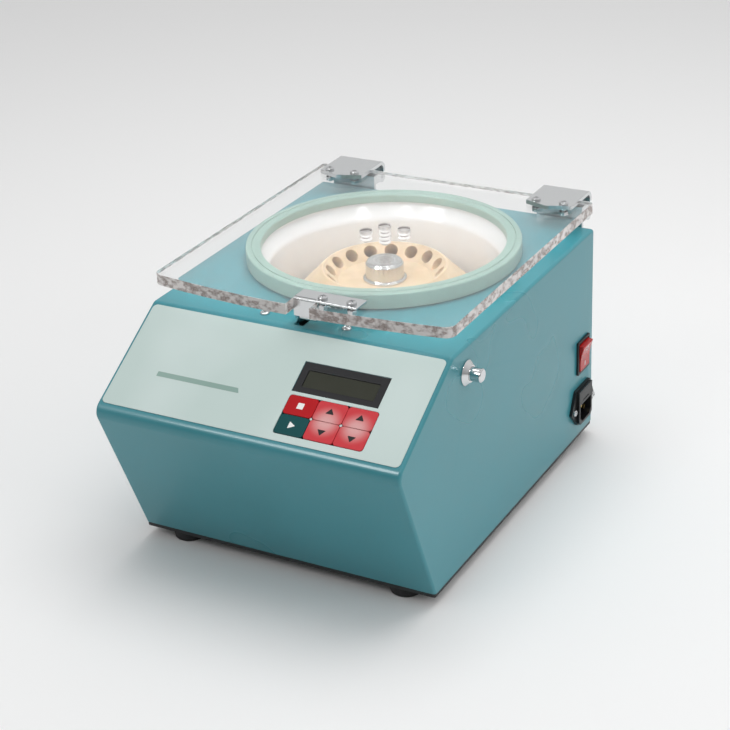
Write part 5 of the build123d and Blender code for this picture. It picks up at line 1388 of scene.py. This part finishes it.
@dataclass
class ControlPanel:
    """The label, the display and the six keys on the slope."""

    label: Pair = (254.0, 93.5)
    label_up: float = 55.75
    film: float = 0.5
    stripe: tuple[Pair, ...] = ((-93.0, 40.5), (-20.0, 40.5), (-22.0, 44.8), (-93.0, 44.8))
    display: Pair = (71.3, 26.3)
    display_at: Pair = (56.0, 65.4)
    window: Pair = (59.7, 14.8)
    window_at: Pair = (56.0, 64.6)
    glass: Pair = (59.4, 14.5)
    key: Pair = (24.3, 16.6)
    gap: float = 0.35
    first: Pair = (33.4, 23.6)

    def place(self, column: int, row: int) -> Pair:
        """Middle of the key in that column and row."""
        x, y = self.first
        return (x + column * (self.key[0] + self.gap), y + row * (self.key[1] + self.gap))

    def build(self) -> None:
        """Builds the label, the display and the keys."""
        label = Skin("panel_film")
        holes = tuple(Housing().panel_holes())
        outline = box_loop(*self.label, (0.0, self.label_up), 4.0, 8)
        label.plate(PANEL, outline, self.film, 0.15, holes, steps=3)
        for column in (0, 1):
            near, far = self.place(column, 0), self.place(column + 1, 1)
            middle = ((near[0] + far[0]) / 2, (near[1] + far[1]) / 2)
            label.plate(PANEL, ring(1.25, 4, middle), 0.9, 0.05, base=-0.4, steps=2)
        label.build([LABEL_FILM], "base", ("panel_label",), "label_film")
        stripe = Skin("panel_stripe")
        stripe.plate(PANEL, np.array(self.stripe), 0.04, 0.01, base=self.film, steps=2, floor=False)
        stripe.build([LABEL_STRIPE], "base", slot="label_film")
        rim = Skin("display_bezel_frame")
        rim.plate(PANEL, box_loop(*self.display, self.display_at, 1.4, 5), 9.7, 0.35,
                  (box_loop(*self.window, self.window_at, 0.8, 4),), base=-9.5, steps=4)
        rim.build([FRAME_BLACK], "base", ("display_frame",), "display_bezel")
        glass = Skin("display_window")
        glass.plate(PANEL, box_loop(*self.glass, self.window_at), 1.0, 0.1, base=-1.4, steps=2)
        glass.build([LENS], "base", ("display_glass",), "display_lens")
        self.keys()

    def keys(self) -> None:
        """The six keys with their marks."""
        top, thick, slots = 0.9, 2.5, {"stop_key": "key_red", "start_key": "key_teal"}
        red = PrintedFilm("key_film_red", "#AE0612", 0.5, other="#B60A16")
        teal = PrintedFilm("key_film_teal", "#054648", 0.42, other="#074C4E")
        half = (self.key[1] + self.gap) / 2
        rose = []
        for column, word in ((1, "key_film_time"), (2, "key_film_speed")):
            point = PANEL.lift(np.array(self.place(column, 0)) + (0.0, half), top)
            rose.append(PrintedFilm(word, "#CC3C43", 0.5, other="#DCA5A4", blush=tuple(point), reach_mm=15.0))
        keys = (Key("stop_key", 0, 1, red, Sign.STOP), Key("start_key", 0, 0, teal, Sign.START),
                Key("time_up_key", 1, 1, rose[0], Sign.UP), Key("time_down_key", 1, 0, rose[0], Sign.DOWN),
                Key("speed_up_key", 2, 1, rose[1], Sign.UP), Key("speed_down_key", 2, 0, rose[1], Sign.DOWN))
        for key in keys:
            middle = self.place(key.column, key.row)
            cap = Skin(key.node + "_cap")
            cap.plate(PANEL, box_loop(*self.key, middle, 2.5, 7), thick, 0.45, base=top - thick, steps=5)
            stem = np.array([(0.0, -5.5), (2.0, -5.5), (2.0, -1.0), (0.0, -1.0)])
            cap.turned(PANEL, middle, stem, 24, closed=False)
            cap.build([key.film], key.node, (key.node,), slots.get(key.node, "key_rose"))
            self.mark(key, middle, top)

    def mark(self, key: Key, middle: Pair, top: float) -> None:
        """A key's printed mark: a square, a triangle or an arrow."""
        shapes = {
            Sign.STOP: np.array([(-2.6, -2.6), (2.6, -2.6), (2.6, 2.6), (-2.6, 2.6)]),
            Sign.START: np.array([(-2.3, -3.0), (3.2, 0.0), (-2.3, 3.0)]),
            Sign.UP: np.array([(-3.5, -1.6), (3.5, -1.6), (0.0, 3.4)]),
            Sign.DOWN: np.array([(-3.5, 1.6), (0.0, -3.4), (3.5, 1.6)]),
        }
        shape = soften(shapes[key.sign], 0.35, 4) + middle
        skin = Skin(key.node + "_mark")
        skin.plate(PANEL, shape, 0.04, 0.012, base=top, steps=2, floor=False)
        ink = WHITE_INK if key.sign in (Sign.STOP, Sign.START) else DARK_INK
        skin.build([ink], key.node, slot="key_red" if key.sign is Sign.STOP else "black_plastic")


@dataclass
class SidePanel:
    """The power switch and the mains inlet on the right wall."""

    bezel: Pair = (25.5, 30.5)
    body: Pair = (22.6, 28.0)
    body_depth: float = 20.0
    pocket: Pair = (20.4, 25.8)
    pocket_depth: float = 9.0
    rocker: float = 19.8
    rocker_half: float = 12.0
    tilt: float = 8.0
    valley: float = 3.2
    crest: float = 1.4
    curve: float = 1.6
    mark_at: float = 7.2
    screw_side: float = 19.6

    def build(self) -> None:
        """Builds the switch and the inlet's screws; the inlet's moulding is the solid itself."""
        self.frame_and_pocket()
        self.toggle()
        skin = Skin("inlet_fixings")
        places = [(D.inlet[0] + side * self.screw_side, D.inlet[1] - 1.0) for side in (-1, 1)]
        PanScrew(2.8, 2.4, 1.5, 7.0).row(skin, SIDE.raised(2.5), places, 0.4, 1.0)
        skin.build([ZINC_SCREW], "base", ("inlet_screws",), "zinc_steel", sharp=50)

    def frame_and_pocket(self) -> None:
        """The switch's frame with its pocket."""
        edge, depth = 0.2, self.body_depth
        pocket = box_loop(*self.pocket, D.switch, 0.4, 3)
        mouth = box_loop(self.body[0] - 2 * edge, self.body[1] - 2 * edge, D.switch)
        skin = Skin("switch_frame")
        skin.plate(SIDE, box_loop(*self.bezel, D.switch, 1.2), 2.0, 0.5, (pocket,), steps=4)
        skin.plate(SIDE, box_loop(*self.body, D.switch, 0.5, 3), depth, edge, base=-depth, steps=2, top=False)
        skin.fill(SIDE, [mouth, pocket])
        wall = np.stack([SIDE.lift(pocket, -self.pocket_depth), SIDE.lift(pocket, 0.1)])
        skin.grid(wall, wrap=True, flip=True)
        skin.fill(SIDE, [pocket], -self.pocket_depth)
        skin.build([BLACK_PLASTIC], "base", ("switch_body",), "black_plastic")

    def toggle(self) -> None:
        """The rocker, a profile of two faces that meet in a valley, and its two marks."""
        t, half = math.radians(self.tilt), self.rocker_half
        y, z = D.switch
        seat = Seat((D.side, y + self.rocker / 2, z), (math.cos(t), 0, -math.sin(t)),
                    (math.sin(t), 0, math.cos(t)))
        along = np.linspace(-1.0, 1.0, 15)
        face = np.stack([self.valley + self.crest * np.abs(along) ** self.curve, half * along], axis=-1)
        outline = np.concatenate([[(-5.5, -half)], face, [(-5.5, half)]])
        cap = Skin("rocker_cap")
        outline = soften(outline, np.r_[0.4, 0.8, np.zeros(13), 0.8, 0.4], 5)
        cap.plate(seat, outline, self.rocker, 0.5, steps=4)
        cap.build([RED_ROCKER], "rocker", ("switch_rocker",), "rocker_red")
        away = math.atan2(self.crest, half)
        ink = Skin("rocker_marks")
        ink.plate(self.on_face(t + away, self.mark_at), ring(2.3, 32), 0.05, 0.01, (ring(1.5, 32),), steps=2)
        ink.plate(self.on_face(t - away, -self.mark_at), box_loop(1.0, 4.4), 0.05, 0.01, steps=2)
        ink.build([WHITE_INK], "rocker", slot="rocker_red")

    def on_face(self, lean: float, along: float) -> Seat:
        """The seat of a mark on the rocker's face, at a distance along it from the pivot."""
        t = math.radians(self.tilt)
        out = self.valley + self.crest * (abs(along) / self.rocker_half) ** self.curve + 0.05
        x = D.side + out * math.cos(t) + along * math.sin(t)
        z = D.switch[1] - out * math.sin(t) + along * math.cos(t)
        return Seat((x, D.switch[0], z), (0, 1, 0), (math.sin(lean), 0, math.cos(lean)))


@dataclass
class Interior:
    """The solids whose shape is right as it stands, and what each is finished in."""

    finishes: dict[str, Finish] = field(default_factory=lambda: {
        "hinge_brackets": STAINLESS, "hinge_pins": GROUND_STEEL, "lock_hook": STAINLESS,
        "lock_rod": GROUND_STEEL, "lock_bush_nut": ZINC_SCREW, "lock_bracket": STAINLESS,
        "lock_nuts": ZINC_SCREW, "display_board": GREEN_BOARD, "board_spacers": BRASS,
        "key_switches": BLACK_PLASTIC, "switch_terminals": BRASS, "inlet_body": BLACK_PLASTIC,
        "inlet_pins": BRASS, "fuse_drawer": BLACK_PLASTIC, "fuses": FUSE_GLASS, "drive_shaft": GROUND_STEEL,
        "motor_case": CAST_ALUMINIUM, "motor_cap": CAST_ALUMINIUM, "motor_bearings": GROUND_STEEL,
        "motor_stator": LAMINATIONS, "motor_armature": LAMINATIONS, "motor_plate": ZINC_SCREW,
        "motor_screws": ZINC_SCREW, "motor_bushes": BUSH_RUBBER, "bush_studs": ZINC_SCREW,
        "shaft_boot": BUSH_RUBBER,
        "control_board": GREEN_BOARD, "control_standoffs": BRASS, "heat_sink": BLACK_ANODISED})

    def build(self) -> None:
        """Gives each of these solids its finish."""
        for node, finish in self.finishes.items():
            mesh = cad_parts[node].data
            mesh.materials.clear()
            mesh.materials.append(finish.material())


@dataclass
class Studio:
    """The floor, the light and the camera at the photograph's angle."""

    turn: float = 29.3065
    height: float = 25.8929
    roll: float = -2.536
    distance: float = 5.7754
    unit: float = 260.0
    aim: Triple = (0.0, 0.5, 0.35)
    slide: Pair = (0.0161, 0.057)
    lens: float = 91.37
    bright_way: Triple = (0.12, 0.70, 0.70)
    dim: float = 0.08
    bright: float = 0.8
    glossy_under: float = 4.0
    boxes: tuple[tuple[str, Triple, float, float, Triple], ...] = (
        ("top_box", (0.1, 0.25, 1.7), 1.3, 13.0, (1.0, 1.0, 1.0)),
        ("right_box", (1.6, -0.3, 0.9), 1.0, 5.0, (1.0, 0.99, 0.98)),
        ("front_box", (-0.5, -1.5, 1.6), 0.6, 2.5, (1.0, 0.99, 0.98)))
    glints: tuple[tuple[str, Triple, float, float], ...] = (
        ("left_glint", (-0.01, -1.12, 1.58), 0.16, 2.4), ("right_glint", (0.9, -0.67, 1.58), 0.16, 3.0),
        ("front_glint", (-0.8, -1.4, 1.5), 0.6, 14.0))

    def build(self) -> None:
        """Sets up the floor, the light and the camera."""
        self.camera()
        self.floor()
        self.lights()

    def camera(self) -> None:
        """The camera: back from the aim by its azimuth and elevation, slid in its own plane, and rolled."""
        a, e, r = (math.radians(v) for v in (self.turn, self.height, self.roll))
        back = np.array([math.sin(a) * math.cos(e), -math.cos(a) * math.cos(e), math.sin(e)])
        right = np.array([math.cos(a), math.sin(a), 0.0])
        up = np.cross(back, right)
        right, up = (math.cos(r) * right + math.sin(r) * up, -math.sin(r) * right + math.cos(r) * up)
        place = np.array(self.aim) + self.distance * back + self.slide[0] * right + self.slide[1] * up
        place = place * self.unit + (D.middle, D.front, D.floor)
        lens = bpy.data.cameras.new("camera")
        lens.lens, lens.sensor_width, lens.sensor_height = self.lens, 36.0, 36.0
        lens.clip_start, lens.clip_end = 0.05, 50.0
        view = bpy.data.objects.new("camera", lens)
        turn = Matrix(np.stack([right, up, back], axis=1).tolist()).to_4x4()
        view.matrix_world = Matrix.Translation((place * MM).tolist()) @ turn
        bpy.context.scene.collection.objects.link(view)
        bpy.context.scene.camera = view

    def floor(self) -> None:
        """A plain pale floor."""
        mesh = bpy.data.meshes.new("floor")
        mesh.from_pydata([(-20, -20, 0), (20, -20, 0), (20, 20, 0), (-20, 20, 0)], [], [(0, 1, 2, 3)])
        plain = bpy.data.materials.new("floor_white")
        plain.use_nodes = True
        shader = plain.node_tree.nodes["Principled BSDF"]
        shader.inputs["Base Color"].default_value = linear("#F0F0F0")
        shader.inputs["Roughness"].default_value = 0.9
        mesh.materials.append(plain)
        piece = bpy.data.objects.new("floor", mesh)
        bpy.context.scene.collection.objects.link(piece)

    def lights(self) -> None:
        """A room bright above and behind, soft boxes, and glints, which only reflections show."""
        scene = bpy.context.scene
        scene.view_settings.view_transform = "Standard"
        world = bpy.data.worlds.new("studio")
        scene.world = world
        world.use_nodes = True
        tree = world.node_tree
        way = add_node(tree, "ShaderNodeTexCoord").outputs["Generated"]
        share = add_node(tree, "ShaderNodeVectorMath", {"operation": "DOT_PRODUCT"}, {
            0: way, 1: self.bright_way})
        level = add_node(tree, "ShaderNodeMapRange", {}, {
            "Value": share.outputs["Value"], "From Min": -0.9, "From Max": 1.0, "To Min": self.dim,
            "To Max": self.bright})
        tree.nodes["Background"].inputs[0].default_value = (1.0, 1.0, 1.0, 1.0)
        tree.links.new(level.outputs[0], tree.nodes["Background"].inputs[1])
        for name, place, size, power, colour in self.boxes:
            piece = self.lamp(name, place, size, power, colour)
            piece.visible_glossy = power < self.glossy_under
        for name, place, size, power in self.glints:
            self.lamp(name, place, size, power, (1.0, 1.0, 1.0)).visible_diffuse = False

    def lamp(self, name: str, place: Triple, size: float, power: float,
             colour: Triple) -> bpy.types.Object:
        """A square soft box that faces the machine."""
        lamp = bpy.data.lights.new(name, "AREA")
        lamp.shape, lamp.size, lamp.energy, lamp.color = "SQUARE", size, power, colour
        piece = bpy.data.objects.new(name, lamp)
        piece.location = place
        piece.rotation_euler = (Vector((0, 0, 0.15)) - Vector(place)).to_track_quat("-Z", "Y").to_euler()
        bpy.context.scene.collection.objects.link(piece)
        return piece


def main() -> None:
    """Builds the studio and every sub-assembly in order, and reports each one."""
    logging.basicConfig(level=logging.INFO, format="%(message)s")
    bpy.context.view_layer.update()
    for unit in (Studio(), Housing(), Chamber(), RotorUnit(), LidUnit(), Hinges(), Lock(), ControlPanel(),
                 SidePanel(), Interior()):
        unit.build()
        LOG.info("built %s", type(unit).__name__)
    bpy.context.view_layer.update()


if __name__ == "__main__":
    main()
